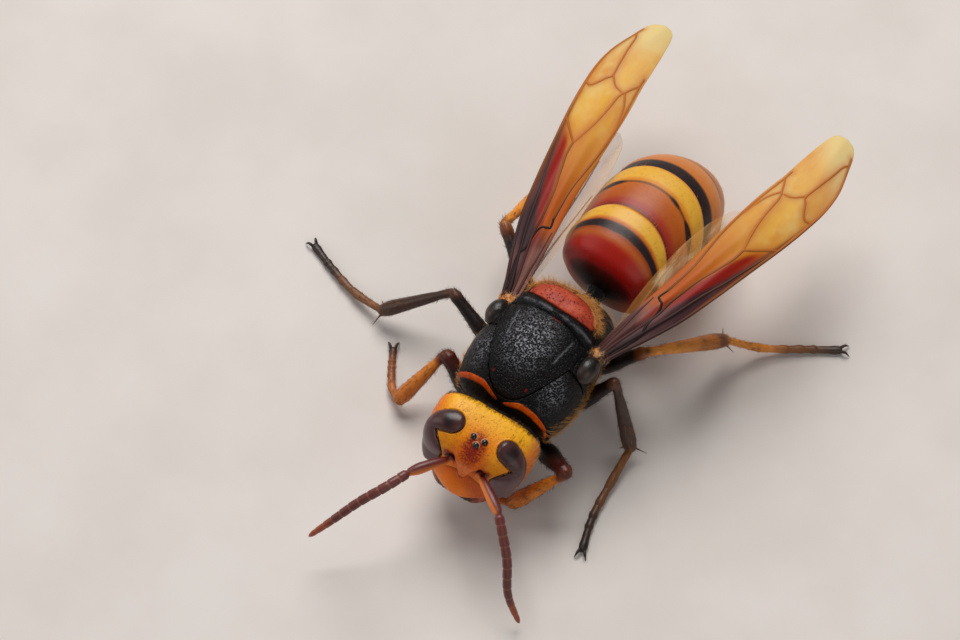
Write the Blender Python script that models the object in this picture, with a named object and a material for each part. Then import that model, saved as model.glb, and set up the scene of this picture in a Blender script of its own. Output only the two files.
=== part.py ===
"""A still, life-size model of an Asian giant hornet that stands on its six feet.

The head looks towards -Y, the left side is +X and +Z is up. The shapes are made in
millimetres about a point on the floor under the wing roots. The last step centres the
whole model over the origin and scales it to metres.
"""

import math

import bmesh
import bpy
import numpy as np
from mathutils import Euler, Matrix, Vector, geometry

MM = 0.001
GAP = 0.3
THIN = 0.5

# The head: half width, half heights and half depths of a rounded box, then its place.
HEAD_HALF_WIDTH = 4.85
HEAD_TOP = 3.5
HEAD_BOTTOM = 4.3
HEAD_FRONT = 3.7
HEAD_REAR = 1.7
NECK_HOLLOW = 1.1
HEAD_POWER = 3.3
HEAD_TAPER = 0.41
FACE_SHEAR = 0.28
HEAD_CUTS = 11
HEAD_PLACE = Vector((0.2, -8.75, 7.05))
HEAD_TURN = Euler((math.radians(-2), math.radians(10), math.radians(7.4)), "XYZ")
CLYPEUS_RISE = 0.8
SHIELD_RISE = 0.45
SOCKET_DEPTH = 0.45
SOCKET_AT = (1.3, 0.67)
OCELLUS_RADIUS = 0.3
OCELLI_AT = ((0, -2.5, 3.1), (-0.53, -1.97, 3.3), (0.53, -1.97, 3.3))

# A compound eye: points of its middle line on the head and its half width there.
EYE_LINE = (
    (2.78, -1.68, 3.25, 1.05), (3.35, -1.8, 2.95, 0.98), (3.87, -1.95, 2.6, 0.85),
    (4.15, -2.15, 2.15, 0.75), (4.05, -2.55, 1.5, 1.02), (3.6, -2.9, 0.6, 1.38),
    (3.5, -3.1, -0.3, 1.2),
)
EYE_DOME = 0.42
EYE_DEPTH = 1.0
EYE_STATIONS = 11
EYE_ENDS = (0.97, 0.8, 0.45)

# The thorax: y, half width, height of the widest level, top and bottom.
THORAX = (
    (-6.7, 3.1, 7.3, 8.4, 5.4), (-6.25, 4.3, 7.7, 9.5, 4.6), (-5.0, 5.0, 8.0, 10.9, 3.9),
    (-3.0, 5.4, 8.1, 12.0, 3.4), (-1.0, 5.3, 8.0, 12.75, 3.1), (1.0, 5.0, 7.9, 13.1, 3.0),
    (2.6, 4.6, 7.8, 13.15, 3.1), (3.9, 4.3, 7.6, 12.85, 3.3), (4.8, 4.15, 7.4, 12.0, 3.6),
    (5.5, 3.75, 7.3, 10.8, 3.9), (6.1, 3.15, 7.1, 9.5, 4.4), (6.6, 2.3, 7.0, 8.4, 5.2),
    (6.8, 1.4, 6.9, 7.8, 5.9),
)
THORAX_POWER = 2.5
PRONOTUM_NOTCH_Y = -5.95
PRONOTUM_SWEEP = 7.7
PRONOTUM_SPREAD = 4.7
PRONOTUM_ROUND = 2.5
PRONOTUM_END_Y = -1.3
SCUTELLUM_FRONT_Y = 2.35
SCUTELLUM_REAR_Y = 4.75
SCUTELLUM_HALF_WIDTH = 3.3
SCUTELLUM_FLOOR_Z = 10.6
PROPODEUM_Y = 5.1
PETIOLE_RADIUS = 0.95
PETIOLE_SPAN = (7.1, 7.8)
TEGULA_AT = Vector((4.75, 0.0, 10.75))
TEGULA_HALF = Vector((0.95, 1.3, 0.95))

# The gaster: number of the ring's rear edge, y and z of its middle, half width, half
# height and how far it leans back in degrees. It curls down to its tip.
GASTER = (
    (0.0, 8.1, 6.95, 1.3, 1.15, 0), (0.04, 8.35, 7.25, 2.8, 2.35, 0),
    (0.13, 8.9, 7.5, 4.1, 3.4, 0), (0.3, 10.0, 7.65, 4.85, 4.25, 0),
    (0.62, 12.0, 7.6, 5.15, 4.8, 0), (1.0, 14.1, 7.4, 5.35, 4.95, 3),
    (1.5, 16.5, 7.0, 5.4, 4.95, 8), (2.0, 18.6, 6.5, 5.3, 4.8, 14),
    (3.0, 20.4, 4.95, 4.6, 4.4, 36), (4.0, 21.5, 3.75, 3.7, 3.5, 56),
    (5.0, 22.6, 2.5, 2.5, 2.4, 68), (6.0, 23.9, 1.15, 0.6, 0.5, 76),
)
GASTER_POWER = 2.15
TERGITE_TUCK = 0.035
TERGITE_SWEEP = 0.7
GASTER_SIDES = 26

# Wings: root and tip of each side, and the outline as share of the length, front, rear.
WING_ROOT = Vector((4.9, 1.5, 10.55))
WING_TIPS = {"l": Vector((10.0, 31.5, 11.1)), "r": Vector((-8.9, 31.6, 11.4))}
WING_TILT = math.radians(5)
WING_BOW = 1.0
WING_SWAY = {"l": 0.25, "r": 0.1}
WING_CAMBER = 0.45
FOREWING = (
    (0.0, 0.6, -0.85), (0.06, 1.05, -1.0), (0.14, 1.75, -1.05), (0.25, 2.6, -1.0),
    (0.36, 3.05, -0.95), (0.5, 3.5, -1.1), (0.6, 3.8, -1.18), (0.7, 3.95, -1.15),
    (0.78, 3.9, -1.0), (0.85, 3.5, -1.0), (0.93, 2.45, -0.92), (0.97, 1.85, -0.8),
    (0.99, 1.3, -0.5), (1.0, 0.7, -0.1),
)
# Veins of the forewing: half width, then share of the length and share of the chord.
FOREWING_VEINS = (
    (0.42, ((0.03, 0.75), (0.14, 0.86), (0.36, 0.9), (0.6, 0.91))),
    (0.34, ((0.03, 0.52), (0.14, 0.62), (0.34, 0.7), (0.5, 0.76), (0.6, 0.91))),
    (0.3, ((0.03, 0.3), (0.15, 0.16), (0.31, 0.14), (0.34, 0.27), (0.5, 0.3), (0.68, 0.4))),
    (0.26, ((0.14, 0.62), (0.3, 0.46), (0.42, 0.56), (0.55, 0.6), (0.66, 0.66))),
    (0.26, ((0.6, 0.91), (0.7, 0.76), (0.82, 0.78), (0.9, 0.9))),
    (0.26, ((0.55, 0.6), (0.62, 0.5), (0.68, 0.4), (0.78, 0.3), (0.86, 0.22))),
    (0.26, ((0.66, 0.66), (0.7, 0.76))),
    (0.26, ((0.66, 0.66), (0.76, 0.56), (0.86, 0.52))),
)
HINDWING_ROOT = Vector((4.6, 3.0, 9.75))
HINDWING_TIPS = {"l": Vector((7.3, 20.8, 9.9)), "r": Vector((-6.9, 20.8, 9.9))}
HINDWING_TILT = math.radians(30)
HINDWING_BOW = 0.3
HINDWING = (
    (0.0, 0.45, -0.45), (0.1, 0.7, -0.8), (0.3, 1.2, -1.5), (0.5, 1.6, -1.9),
    (0.7, 1.7, -2.0), (0.86, 1.5, -1.7), (0.95, 1.0, -1.2), (1.0, 0.2, -0.4),
)
HINDWING_VEINS = (
    (0.3, ((0.05, 0.6), (0.3, 0.75), (0.6, 0.82), (0.84, 0.86))),
    (0.26, ((0.12, 0.66), (0.4, 0.45), (0.7, 0.4), (0.88, 0.4))),
    (0.26, ((0.1, 0.4), (0.3, 0.25), (0.55, 0.2))),
)
VEIN_RISE = 0.16
WING_STATIONS = 22

# Antennae: scape end, points of the flagellum and its tip, for each side.
SCAPE_ENDS = {"l": Vector((5.75, -14.35, 8.4)), "r": Vector((-2.5, -15.75, 8.6))}
FLAGELLA = {
    "l": (Vector((7.0, -15.45, 7.4)), Vector((8.2, -16.55, 6.2)), Vector((9.6, -18.35, 3.6)),
          Vector((11.2, -19.05, 1.0))),
    "r": (Vector((-3.4, -18.0, 8.4)), Vector((-4.7, -20.1, 7.4)), Vector((-5.9, -22.15, 6.0)),
          Vector((-7.3, -24.05, 4.0))),
}
FLAGELLUM_SEGMENTS = 11
SCAPE_RADIUS = 0.45
FLAGELLUM_RADIUS = 0.43

# Legs: trochanter, knee, end of the tibia, points of the tarsus and its tip.
LEGS = {
    "fore_l": ((3.3, -5.3, 3.0), (7.7, -7.2, 6.0), (4.2, -10.5, 1.3),
               ((2.2, -10.9, 0.75), (-0.4, -10.4, 0.4), (-2.0, -9.7, 0.3))),
    "fore_r": ((-3.3, -5.3, 3.0), (-7.5, -4.0, 6.0), (-9.7, -8.3, 1.3),
               ((-11.0, -7.5, 0.75), (-12.3, -5.9, 0.4), (-13.4, -4.2, 0.3))),
    "mid_l": ((3.6, -0.6, 2.7), (6.8, 1.3, 8.6), (9.6, -0.3, 1.5),
              ((9.9, -3.6, 0.75), (10.5, -7.4, 0.4), (11.5, -10.2, 0.3))),
    "mid_r": ((-3.6, -0.6, 2.7), (-10.6, 1.2, 6.0), (-16.1, -2.2, 1.6),
              ((-19.2, -1.9, 0.8), (-23.2, -0.8, 0.4), (-25.4, 0.0, 0.3))),
    "hind_l": ((3.1, 3.4, 3.0), (7.2, 5.1, 8.6), (10.6, 12.7, 2.6),
               ((13.2, 14.6, 0.95), (16.6, 17.2, 0.4), (18.9, 18.8, 0.3))),
    "hind_r": ((-3.1, 3.9, 3.0), (-10.9, 9.3, 6.2), (-11.3, 17.9, 1.6),
               ((-11.7, 21.0, 0.8), (-12.4, 25.2, 0.4), (-13.0, 28.0, 0.3))),
}
COXA_ROOTS = {"fore": Vector((1.9, -4.6, 5.0)), "mid": Vector((2.1, -0.4, 5.0)),
              "hind": Vector((2.0, 3.0, 5.0))}
COXA_RADIUS = {"fore": 1.05, "mid": 1.1, "hind": 1.15}
FEMUR_RADIUS = {"fore": 0.92, "mid": 0.72, "hind": 0.76}
TIBIA_RADIUS = {"fore": 0.66, "mid": 0.62, "hind": 0.66}
TARSUS_RADIUS = {"fore": 0.36, "mid": 0.38, "hind": 0.38}
SPUR_LENGTH = {"fore": 0.8, "mid": 1.3, "hind": 1.4}
TARSOMERES = (0.4, 0.17, 0.13, 0.1, 0.2)
CLAW_LENGTH = 0.75
CLAW_SPREAD = 0.34
FEMUR_BOW = Vector((0, 0, 0.25))

MATERIALS = {
    "amber": ((0.80, 0.36, 0.03), 0.35), "brown_eye": ((0.10, 0.045, 0.03), 0.18),
    "black_shell": ((0.015, 0.013, 0.014), 0.42), "red_shell": ((0.50, 0.09, 0.03), 0.35),
    "band": ((0.62, 0.22, 0.04), 0.38), "wing": ((0.42, 0.17, 0.04), 0.3),
    "feeler": ((0.22, 0.06, 0.04), 0.45), "leg": ((0.12, 0.06, 0.04), 0.42),
    "jaw": ((0.45, 0.13, 0.03), 0.35),
}


def clear_scene():
    for old in list(bpy.data.objects):
        bpy.data.objects.remove(old, do_unlink=True)


def make_material(name):
    colour, roughness = MATERIALS[name]
    made = bpy.data.materials.new(name)
    made.use_nodes = True
    shader = made.node_tree.nodes["Principled BSDF"]
    shader.inputs["Base Color"].default_value = (*colour, 1)
    shader.inputs["Roughness"].default_value = roughness
    shader.inputs["Metallic"].default_value = 0.0
    return made


def finish_mesh(name, bm):
    """An object from a bmesh, with its faces turned outwards."""
    bmesh.ops.recalc_face_normals(bm, faces=bm.faces)
    mesh = bpy.data.meshes.new(name)
    bm.to_mesh(mesh)
    bm.free()
    made = bpy.data.objects.new(name, mesh)
    bpy.context.scene.collection.objects.link(made)
    return made


def smooth_rows(rows, places):
    """Rows of a table read at other places of its first column, along smooth curves."""
    table = np.array(rows, float)
    keys = table[:, 0]
    slopes = np.gradient(table[:, 1:], keys, axis=0)
    found = []
    for place in places:
        i = int(np.clip(np.searchsorted(keys, place) - 1, 0, len(keys) - 2))
        span = keys[i + 1] - keys[i]
        t = (place - keys[i]) / span
        start, end = table[i, 1:], table[i + 1, 1:]
        found.append(
            (2 * t**3 - 3 * t**2 + 1) * start + (t**3 - 2 * t**2 + t) * span * slopes[i]
            + (3 * t**2 - 2 * t**3) * end + (t**3 - t**2) * span * slopes[i + 1]
        )
    return found


def smooth_path(points, count):
    """Evenly spread points of a smooth curve through a few given ones."""
    given = [Vector(p) for p in points]
    lengths = [0.0]
    for a, b in zip(given, given[1:]):
        lengths.append(lengths[-1] + (b - a).length)
    rows = [(s, *p) for s, p in zip(lengths, given)]
    return [Vector(r) for r in smooth_rows(rows, np.linspace(0, lengths[-1], count))]


def loft(name, rings, level_strips=False):
    """A closed body through rings. Its ends are flat, or bend about level lines."""
    bm = bmesh.new()
    loops = [[bm.verts.new(p) for p in ring] for ring in rings]
    for a, b in zip(loops, loops[1:]):
        for i in range(len(a)):
            j = (i + 1) % len(a)
            bm.faces.new((a[i], a[j], b[j], b[i]))
    for end in (loops[0], loops[-1]):
        if level_strips:
            top = len(end) // 4
            for k in range(len(end) // 2 - 1):
                bm.faces.new((end[top - k], end[top + 1 + k], end[top + 2 + k], end[top - k - 1]))
        else:
            bm.faces.new(end)
    return finish_mesh(name, bm)


def body_ring(y, half_width, level, top, bottom, power, sides, grow=0.0):
    """A rounded cross-section of the thorax or gaster, upright at y."""
    ring = []
    for i in range(sides):
        angle = 2 * math.pi * i / sides
        c, s = math.cos(angle), math.sin(angle)
        x = math.copysign(abs(c) ** (2 / power), c) * (half_width + grow)
        height = (top - level if s > 0 else level - bottom) + grow
        z = level + math.copysign(abs(s) ** (2 / power), s) * height
        ring.append(Vector((x, y, z)))
    return ring


def tube(name, path, radii, sides=8, flat=1.0, grow=0.0):
    """A tapered limb along a path. flat is its thickness as a share of its width."""
    rings = []
    side = Vector((0, 0, 1)).cross(path[1] - path[0])
    if side.length < 1e-6:
        side = Vector((1, 0, 0))
    start = path[0] - (path[1] - path[0]).normalized() * grow
    end = path[-1] + (path[-1] - path[-2]).normalized() * grow
    path = [start, *path[1:-1], end]
    radii = [r + grow for r in radii]
    for i, (point, radius) in enumerate(zip(path, radii)):
        along = (path[min(i + 1, len(path) - 1)] - path[max(i - 1, 0)]).normalized()
        side = (side - along * side.dot(along)).normalized()
        up = along.cross(side)
        ring = []
        for k in range(sides):
            a = 2 * math.pi * (k + 0.5) / sides
            ring.append(point + side * (radius * math.cos(a)) + up * (radius * flat * math.sin(a)))
        rings.append(ring)
    return loft(name, rings)


def combine(target, others, operation):
    """One Boolean of target with a set of closed meshes, applied. The set is removed."""
    group = bpy.data.collections.new("pieces")
    bpy.context.scene.collection.children.link(group)
    for other in others:
        bpy.context.scene.collection.objects.unlink(other)
        group.objects.link(other)
    modifier = target.modifiers.new("join", "BOOLEAN")
    modifier.operation = operation
    modifier.operand_type = "COLLECTION"
    modifier.collection = group
    modifier.solver = "EXACT"
    bpy.context.view_layer.update()
    graph = bpy.context.evaluated_depsgraph_get()
    mesh = bpy.data.meshes.new_from_object(target.evaluated_get(graph))
    target.modifiers.clear()
    target.data = mesh
    for other in others:
        bpy.data.objects.remove(other, do_unlink=True)
    bpy.data.collections.remove(group)
    keep_largest(target)
    return target


def keep_largest(target):
    """Only the largest closed surface of a mesh stays."""
    bm = bmesh.new()
    bm.from_mesh(target.data)
    bmesh.ops.remove_doubles(bm, verts=bm.verts, dist=1e-5)
    left = set(bm.verts)
    shells = []
    while left:
        front = [left.pop()]
        shell = set(front)
        while front:
            for edge in front.pop().link_edges:
                for vert in edge.verts:
                    if vert in left:
                        left.remove(vert)
                        shell.add(vert)
                        front.append(vert)
        shells.append(shell)
    shells.sort(key=len)
    for shell in shells[:-1]:
        bmesh.ops.delete(bm, geom=list(shell), context="VERTS")
    bm.to_mesh(target.data)
    bm.free()


def bump(x, z, width, height):
    """A smooth hill of height 1 over an ellipse."""
    r = (x / width) ** 2 + (z / height) ** 2
    return (1 - r) ** 2 if r < 1 else 0.0


def step(value, low, high):
    t = min(1.0, max(0.0, (value - low) / (high - low)))
    return t * t * (3 - 2 * t)


def head_point(direction, grow=0.0, detail=True):
    """The head's surface along a direction, in the head's own frame."""
    d = direction.normalized()
    depth = HEAD_FRONT if d.y < 0 else HEAD_REAR
    height = HEAD_TOP if d.z > 0 else HEAD_BOTTOM
    reach = (
        abs(d.x / HEAD_HALF_WIDTH) ** HEAD_POWER + abs(d.y / depth) ** HEAD_POWER
        + abs(d.z / height) ** HEAD_POWER
    ) ** (-1 / HEAD_POWER)
    p = d * (reach + grow)
    below = max(0.0, -p.z)
    p.x *= 1 - HEAD_TAPER * min(1.0, below / HEAD_BOTTOM) ** 2
    p.y -= FACE_SHEAR * below
    if d.y > 0:
        p.y -= NECK_HOLLOW * bump(p.x, p.z - 0.2, 4.2, 3.2)
    if detail and d.y < 0:
        front = step(-d.y, 0.1, 0.5)
        clypeus = CLYPEUS_RISE * bump(p.x, p.z + 2.5, 2.8, 2.3)
        half = 0.25 + 0.36 * max(0.0, p.z + 0.9)
        shield = SHIELD_RISE * step(half - abs(p.x), -0.2, 0.35) * step(p.z, -1.0, -0.6)
        shield *= 1 - step(p.z, 1.6, 3.0)
        socket = SOCKET_DEPTH * bump(abs(p.x) - SOCKET_AT[0], p.z - SOCKET_AT[1], 0.85, 0.95)
        p.y -= front * (clypeus + shield - socket)
    return p


def head_body(name, grow=0.0, detail=True, cuts=HEAD_CUTS):
    """The head capsule as a rounded cube shaped by head_point, placed on the neck."""
    bm = bmesh.new()
    bmesh.ops.create_cube(bm, size=2)
    bmesh.ops.subdivide_edges(bm, edges=bm.edges, cuts=cuts, use_grid_fill=True)
    for v in bm.verts:
        v.co = head_place() @ head_point(Vector(math.tan(c * math.pi / 4) for c in v.co), grow, detail)
    return finish_mesh(name, bm)


def head_place():
    return Matrix.Translation(HEAD_PLACE) @ HEAD_TURN.to_matrix().to_4x4()


def face_direction(x, z):
    """The direction from the head's middle to the bare face at a frontal x and z."""
    share = abs(x / HEAD_HALF_WIDTH) ** HEAD_POWER
    share += abs(z / (HEAD_TOP if z > 0 else HEAD_BOTTOM)) ** HEAD_POWER
    return Vector((x, -HEAD_FRONT * max(0.02, 1 - share) ** (1 / HEAD_POWER), z))


def head_normal(point):
    """Outward direction of the bare head at a point of it."""
    depth = HEAD_FRONT if point.y < 0 else HEAD_REAR
    height = HEAD_TOP if point.z > 0 else HEAD_BOTTOM
    halves = (HEAD_HALF_WIDTH, depth, height)
    slope = [math.copysign(abs(c / h) ** (HEAD_POWER - 1), c) / h for c, h in zip(point, halves)]
    return Vector(slope).normalized()


def eye_stations():
    """Middle points and half widths along the left eye, with both ends rounded off."""
    rows = smooth_path([Vector(row) for row in EYE_LINE], EYE_STATIONS)
    stations = [(row.to_3d(), row.w) for row in rows]
    first, last = stations[0], stations[-1]
    ahead = (stations[1][0] - first[0]).normalized()
    behind = (stations[-2][0] - last[0]).normalized()
    for share in EYE_ENDS[::-1]:
        width = (1 - share * share) ** 0.5
        stations.insert(0, (first[0] - ahead * (share * first[1]), width * first[1]))
        stations.append((last[0] - behind * (share * last[1]), width * last[1]))
    return stations


def eye_body(name, side, grow=0.0):
    """A kidney-shaped eye laid on the head along its own curved middle line."""
    stations = eye_stations()
    place = head_place()
    last = len(stations) - 1
    rings = []
    for i, (centre, width) in enumerate(stations):
        ahead = stations[min(i + 1, last)][0] - stations[max(i - 1, 0)][0]
        normal = head_normal(centre)
        across = ahead.cross(normal).normalized()
        rise = EYE_DOME * min(1.0, width / 0.8) + grow
        ring = []
        for t in (-1.0, -0.8, -0.45, 0.0, 0.45, 0.8, 1.0):
            base = head_point(centre + across * (t * (width + grow)), detail=False)
            ring.append(base + normal * (rise * (1 - t * t) ** 0.5 + 0.04 + grow))
        for t in (0.85, 0.0, -0.85):
            base = head_point(centre + across * (t * (width + grow)), detail=False)
            ring.append(base - normal * (EYE_DEPTH * (1 - 0.5 * t * t) + grow))
        if side == "r":
            ring = [Vector((-p.x, p.y, p.z)) for p in ring]
        rings.append([place @ p for p in ring])
    step_out = (rings[0][3] - rings[1][3]).normalized() * grow
    rings[0] = [p + step_out for p in rings[0]]
    step_out = (rings[-1][3] - rings[-2][3]).normalized() * grow
    rings[-1] = [p + step_out for p in rings[-1]]
    return loft(name, rings)


def make_head():
    head = head_body("head")
    cutters = [eye_body("cut", side, GAP) for side in "lr"]
    combine(head, cutters, "DIFFERENCE")
    domes = []
    for spot in OCELLI_AT:
        bm = bmesh.new()
        bmesh.ops.create_icosphere(bm, subdivisions=2, radius=OCELLUS_RADIUS)
        bmesh.ops.transform(bm, matrix=head_place() @ Matrix.Translation(spot), verts=bm.verts)
        domes.append(finish_mesh("dome", bm))
    combine(head, domes, "UNION")
    return [(head, "amber")] + [(eye_body(f"eye_{side}", side), "brown_eye") for side in "lr"]


def mandible(side):
    sign = 1 if side == "l" else -1
    points = ((2.1, -1.6, -3.3), (2.1, -2.5, -4.2), (1.55, -3.2, -4.7), (0.42, -3.65, -4.95))
    path = [head_place() @ Vector((sign * p.x, p.y, p.z)) for p in smooth_path(points, 8)]
    made = tube(f"mandible_{side}", path, (0.9, 0.92, 0.88, 0.8, 0.72, 0.64, 0.54, 0.34), 8, 0.62)
    return combine(made, [head_body("near", GAP, True, 10)], "DIFFERENCE")


def make_antenna(side):
    sign = 1 if side == "l" else -1
    x, z = SOCKET_AT
    root = head_place() @ (face_direction(sign * x, z) * 0.96)
    end = SCAPE_ENDS[side]
    bow = Vector((0, 0, 0.16))
    path = smooth_path((root, (root + end) / 2 + bow, end), 7)
    radii = [SCAPE_RADIUS * k for k in (0.7, 0.72, 0.86, 0.98, 1.0, 1.04, 0.9)]
    scape = tube(f"antenna_{side}_scape", path, radii)
    combine(scape, [head_body("near", GAP, True, 10)], "DIFFERENCE")
    start = end + (FLAGELLA[side][0] - end).normalized() * GAP
    joints = smooth_path((start, *FLAGELLA[side]), FLAGELLUM_SEGMENTS + 1)
    points, radii = [joints[0]], [FLAGELLUM_RADIUS * 0.72]
    for i, (a, b) in enumerate(zip(joints, joints[1:])):
        swell = FLAGELLUM_RADIUS * (1 - 0.5 * (i / FLAGELLUM_SEGMENTS) ** 3)
        points += [a + (b - a) * 0.22, a + (b - a) * 0.94]
        radii += [swell * 0.93, swell * 1.05]
    points.append(joints[-1])
    radii.append(FLAGELLUM_RADIUS * 0.3)
    return [scape, tube(f"antenna_{side}_flagellum", points, radii)]


def neck():
    path = [Vector((0.2, -9.2, 7.1)), Vector((0.15, -7.5, 7.1)), Vector((0.1, -6.0, 7.0))]
    made = tube("neck", path, (1.3, 1.25, 1.45), 10)
    near = [head_body("near", GAP, False, 8), thorax_body("near", GAP)]
    return combine(made, near, "DIFFERENCE")


def thorax_body(name, grow=0.0, sides=28):
    places = [r[0] for r in THORAX]
    between = sorted(places + [(a + b) / 2 for a, b in zip(places[1:-1], places[2:-1])])
    rings = []
    for y, (w, level, top, bottom) in zip(between, smooth_rows(THORAX, between)):
        stretch = -grow if y == between[0] else grow if y == between[-1] else 0.0
        rings.append(body_ring(y + stretch, w, level, top, bottom, THORAX_POWER, sides, grow))
    return loft(name, rings)


def slab(name, outline, low, high):
    """A plate of a plan outline, upright between two heights."""
    bm = bmesh.new()
    face = bm.faces.new([bm.verts.new((x, y, low)) for x, y in outline])
    lifted = bmesh.ops.extrude_face_region(bm, geom=[face])["geom"]
    verts = [g for g in lifted if isinstance(g, bmesh.types.BMVert)]
    bmesh.ops.translate(bm, vec=(0, 0, high - low), verts=verts)
    return finish_mesh(name, bm)


def pronotum_edge(shift):
    """Plan line between pronotum and mesothorax, from the right side to the left."""
    edge = []
    for i in range(17):
        x = -6.4 + 12.8 * i / 16
        y = PRONOTUM_NOTCH_Y + PRONOTUM_SWEEP * (abs(x) / PRONOTUM_SPREAD) ** PRONOTUM_ROUND
        edge.append((x, min(y, PRONOTUM_END_Y) + shift))
    return edge


def scutellum_outline(grow):
    """Plan of the scutellum: a crescent with a round rear edge."""
    w, front, rear = SCUTELLUM_HALF_WIDTH + grow, SCUTELLUM_FRONT_Y - grow, SCUTELLUM_REAR_Y + grow
    back = []
    for i in range(11):
        a = math.pi * i / 10
        back.append((w * math.cos(a), front + 0.5 + (rear - front - 0.5) * math.sin(a)))
    return [(w, front + 0.3), *back, (-w, front + 0.3), (0.0, front)]


def make_thorax():
    front, rear, low, high = -12.0, 12.0, -2.0, 16.0
    pronotum = thorax_body("pronotum")
    outline = [(-7, front), *pronotum_edge(-GAP / 2), (7, front)]
    combine(pronotum, [slab("keep", outline, low, high)], "INTERSECT")
    propodeum = thorax_body("propodeum")
    box = [(-7, PROPODEUM_Y + GAP / 2), (7, PROPODEUM_Y + GAP / 2), (7, rear), (-7, rear)]
    combine(propodeum, [slab("keep", box, low, high)], "INTERSECT")
    scutellum = thorax_body("scutellum", 0.12)
    combine(scutellum, [slab("keep", scutellum_outline(0), SCUTELLUM_FLOOR_Z, high)], "INTERSECT")
    middle = thorax_body("mesothorax")
    box = [(-7, PROPODEUM_Y - GAP / 2), (7, PROPODEUM_Y - GAP / 2), *reversed(pronotum_edge(GAP / 2))]
    combine(middle, [slab("keep", box, low, high)], "INTERSECT")
    pocket = slab("cut", scutellum_outline(GAP), SCUTELLUM_FLOOR_Z - GAP, high)
    combine(middle, [pocket], "DIFFERENCE")
    return [(pronotum, "black_shell"), (middle, "black_shell"), (scutellum, "red_shell"),
            (propodeum, "black_shell")]


def tegula_body(name, side, grow=0.0):
    sign = 1 if side == "l" else -1
    bm = bmesh.new()
    bmesh.ops.create_uvsphere(bm, u_segments=14, v_segments=8, radius=1)
    half = TEGULA_HALF + Vector((grow, grow, grow))
    at = Vector((sign * TEGULA_AT.x, TEGULA_AT.y, TEGULA_AT.z))
    turn = Euler((0, sign * math.radians(35), 0)).to_matrix().to_4x4()
    bmesh.ops.transform(bm, matrix=Matrix.Translation(at) @ turn @ Matrix.Diagonal((*half, 1)),
                        verts=bm.verts)
    return finish_mesh(name, bm)


def make_tegula(side):
    return combine(tegula_body(f"tegula_{side}", side), [thorax_body("near", GAP)], "DIFFERENCE")


def petiole():
    path = [Vector((0, y, 6.9)) for y in np.linspace(*PETIOLE_SPAN, 3)]
    return tube("petiole", path, (PETIOLE_RADIUS, PETIOLE_RADIUS * 0.85, PETIOLE_RADIUS), 12)


def gaster_ring(place, shrink):
    """A line round the gaster, level in its lower half and swept back over its top."""
    ring = []
    for i in range(GASTER_SIDES):
        height = math.sin(2 * math.pi * i / GASTER_SIDES)
        fade = min(1.0, place, max(0.0, (5 - place) / 2))
        own = place - TERGITE_SWEEP * fade * min(1.0, 1 - height)
        y, z, half_width, half_height, lean = smooth_rows(GASTER, [own])[0]
        turn = Matrix.Rotation(math.radians(-lean), 4, "X")
        flat = body_ring(0, half_width * shrink, 0, half_height * shrink,
                         -half_height * shrink, GASTER_POWER, GASTER_SIDES)
        ring.append(turn @ flat[i] + Vector((0, y, z)))
    return ring


def make_gaster():
    """Six rings of the abdomen. Each is tucked in at its front under the one before."""
    made = []
    for i in range(6):
        y, z = smooth_rows(GASTER, [i + 0.95])[0][:2]
        y_end, z_end = smooth_rows(GASTER, [i + 1])[0][:2]
        gap = 0 if i == 5 else GAP * 0.05 / math.hypot(y_end - y, z_end - z)
        shares = np.linspace(0, 1, 9) ** 2 if i == 0 else np.linspace(0, 1, 5)
        rings = []
        for share in shares:
            tuck = 1 - TERGITE_TUCK * (1 - share) * (i > 0)
            rings.append(gaster_ring(i + share * (1 - gap), tuck))
        made.append((loft(f"gaster_{i + 1}", rings, True), "band"))
    return made


def wing_frame(root, tip, tilt, side):
    """Directions of a wing: along it, towards its front edge, and out of its upper face."""
    sign = 1 if side == "l" else -1
    along = (tip - root).normalized()
    lead = Vector((sign * math.cos(tilt), 0, -math.sin(tilt)))
    lead = (lead - along * lead.dot(along)).normalized()
    return along, lead, lead.cross(along) * sign


def wing_edges(outline, share):
    front, rear = smooth_rows(outline, [min(1.0, max(0.0, share))])[0]
    return front, rear


def vein_share(point, veins):
    """How far a plan point is inside the nearest vein: 1 on its crest, 0 at its side."""
    best = 0.0
    for half, line in veins:
        for a, b in zip(line, line[1:]):
            t = (point - a).dot(b - a) / (b - a).length_squared
            away = (point - (a + (b - a) * min(1.0, max(0.0, t)))).length
            best = max(best, 1 - away / half)
    return best


def wing_outline_point(outline, length, share, chord):
    """A plan point of a wing from its share of the length and of the chord."""
    front, rear = wing_edges(outline, share)
    return Vector((share * length, rear + (front - rear) * chord))


def wing_mesh(outline, lines, length):
    """Plan of a wing split into triangles along its outline, its veins and their sides."""
    shares = np.linspace(0, 1, WING_STATIONS)
    edge = [wing_outline_point(outline, length, s, 1) for s in shares]
    edge += [wing_outline_point(outline, length, s, 0) for s in shares[::-1]]
    points = list(edge)
    joined = [(i, (i + 1) % len(edge)) for i in range(len(edge))]
    for half, plan in lines:
        for offset in (-half, 0.0, half):
            first = len(points)
            for i, p in enumerate(plan):
                ahead = (plan[min(i + 1, len(plan) - 1)] - plan[max(i - 1, 0)]).normalized()
                points.append(p + Vector((-ahead.y, ahead.x)) * offset)
            joined += [(first + i, first + i + 1) for i in range(len(plan) - 1)]
    for share in shares[1:-1]:
        points.append(wing_outline_point(outline, length, share, 0.5))
    found = geometry.delaunay_2d_cdt(points, joined, [], 1, 0.02)
    return found[0], found[2]


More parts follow.
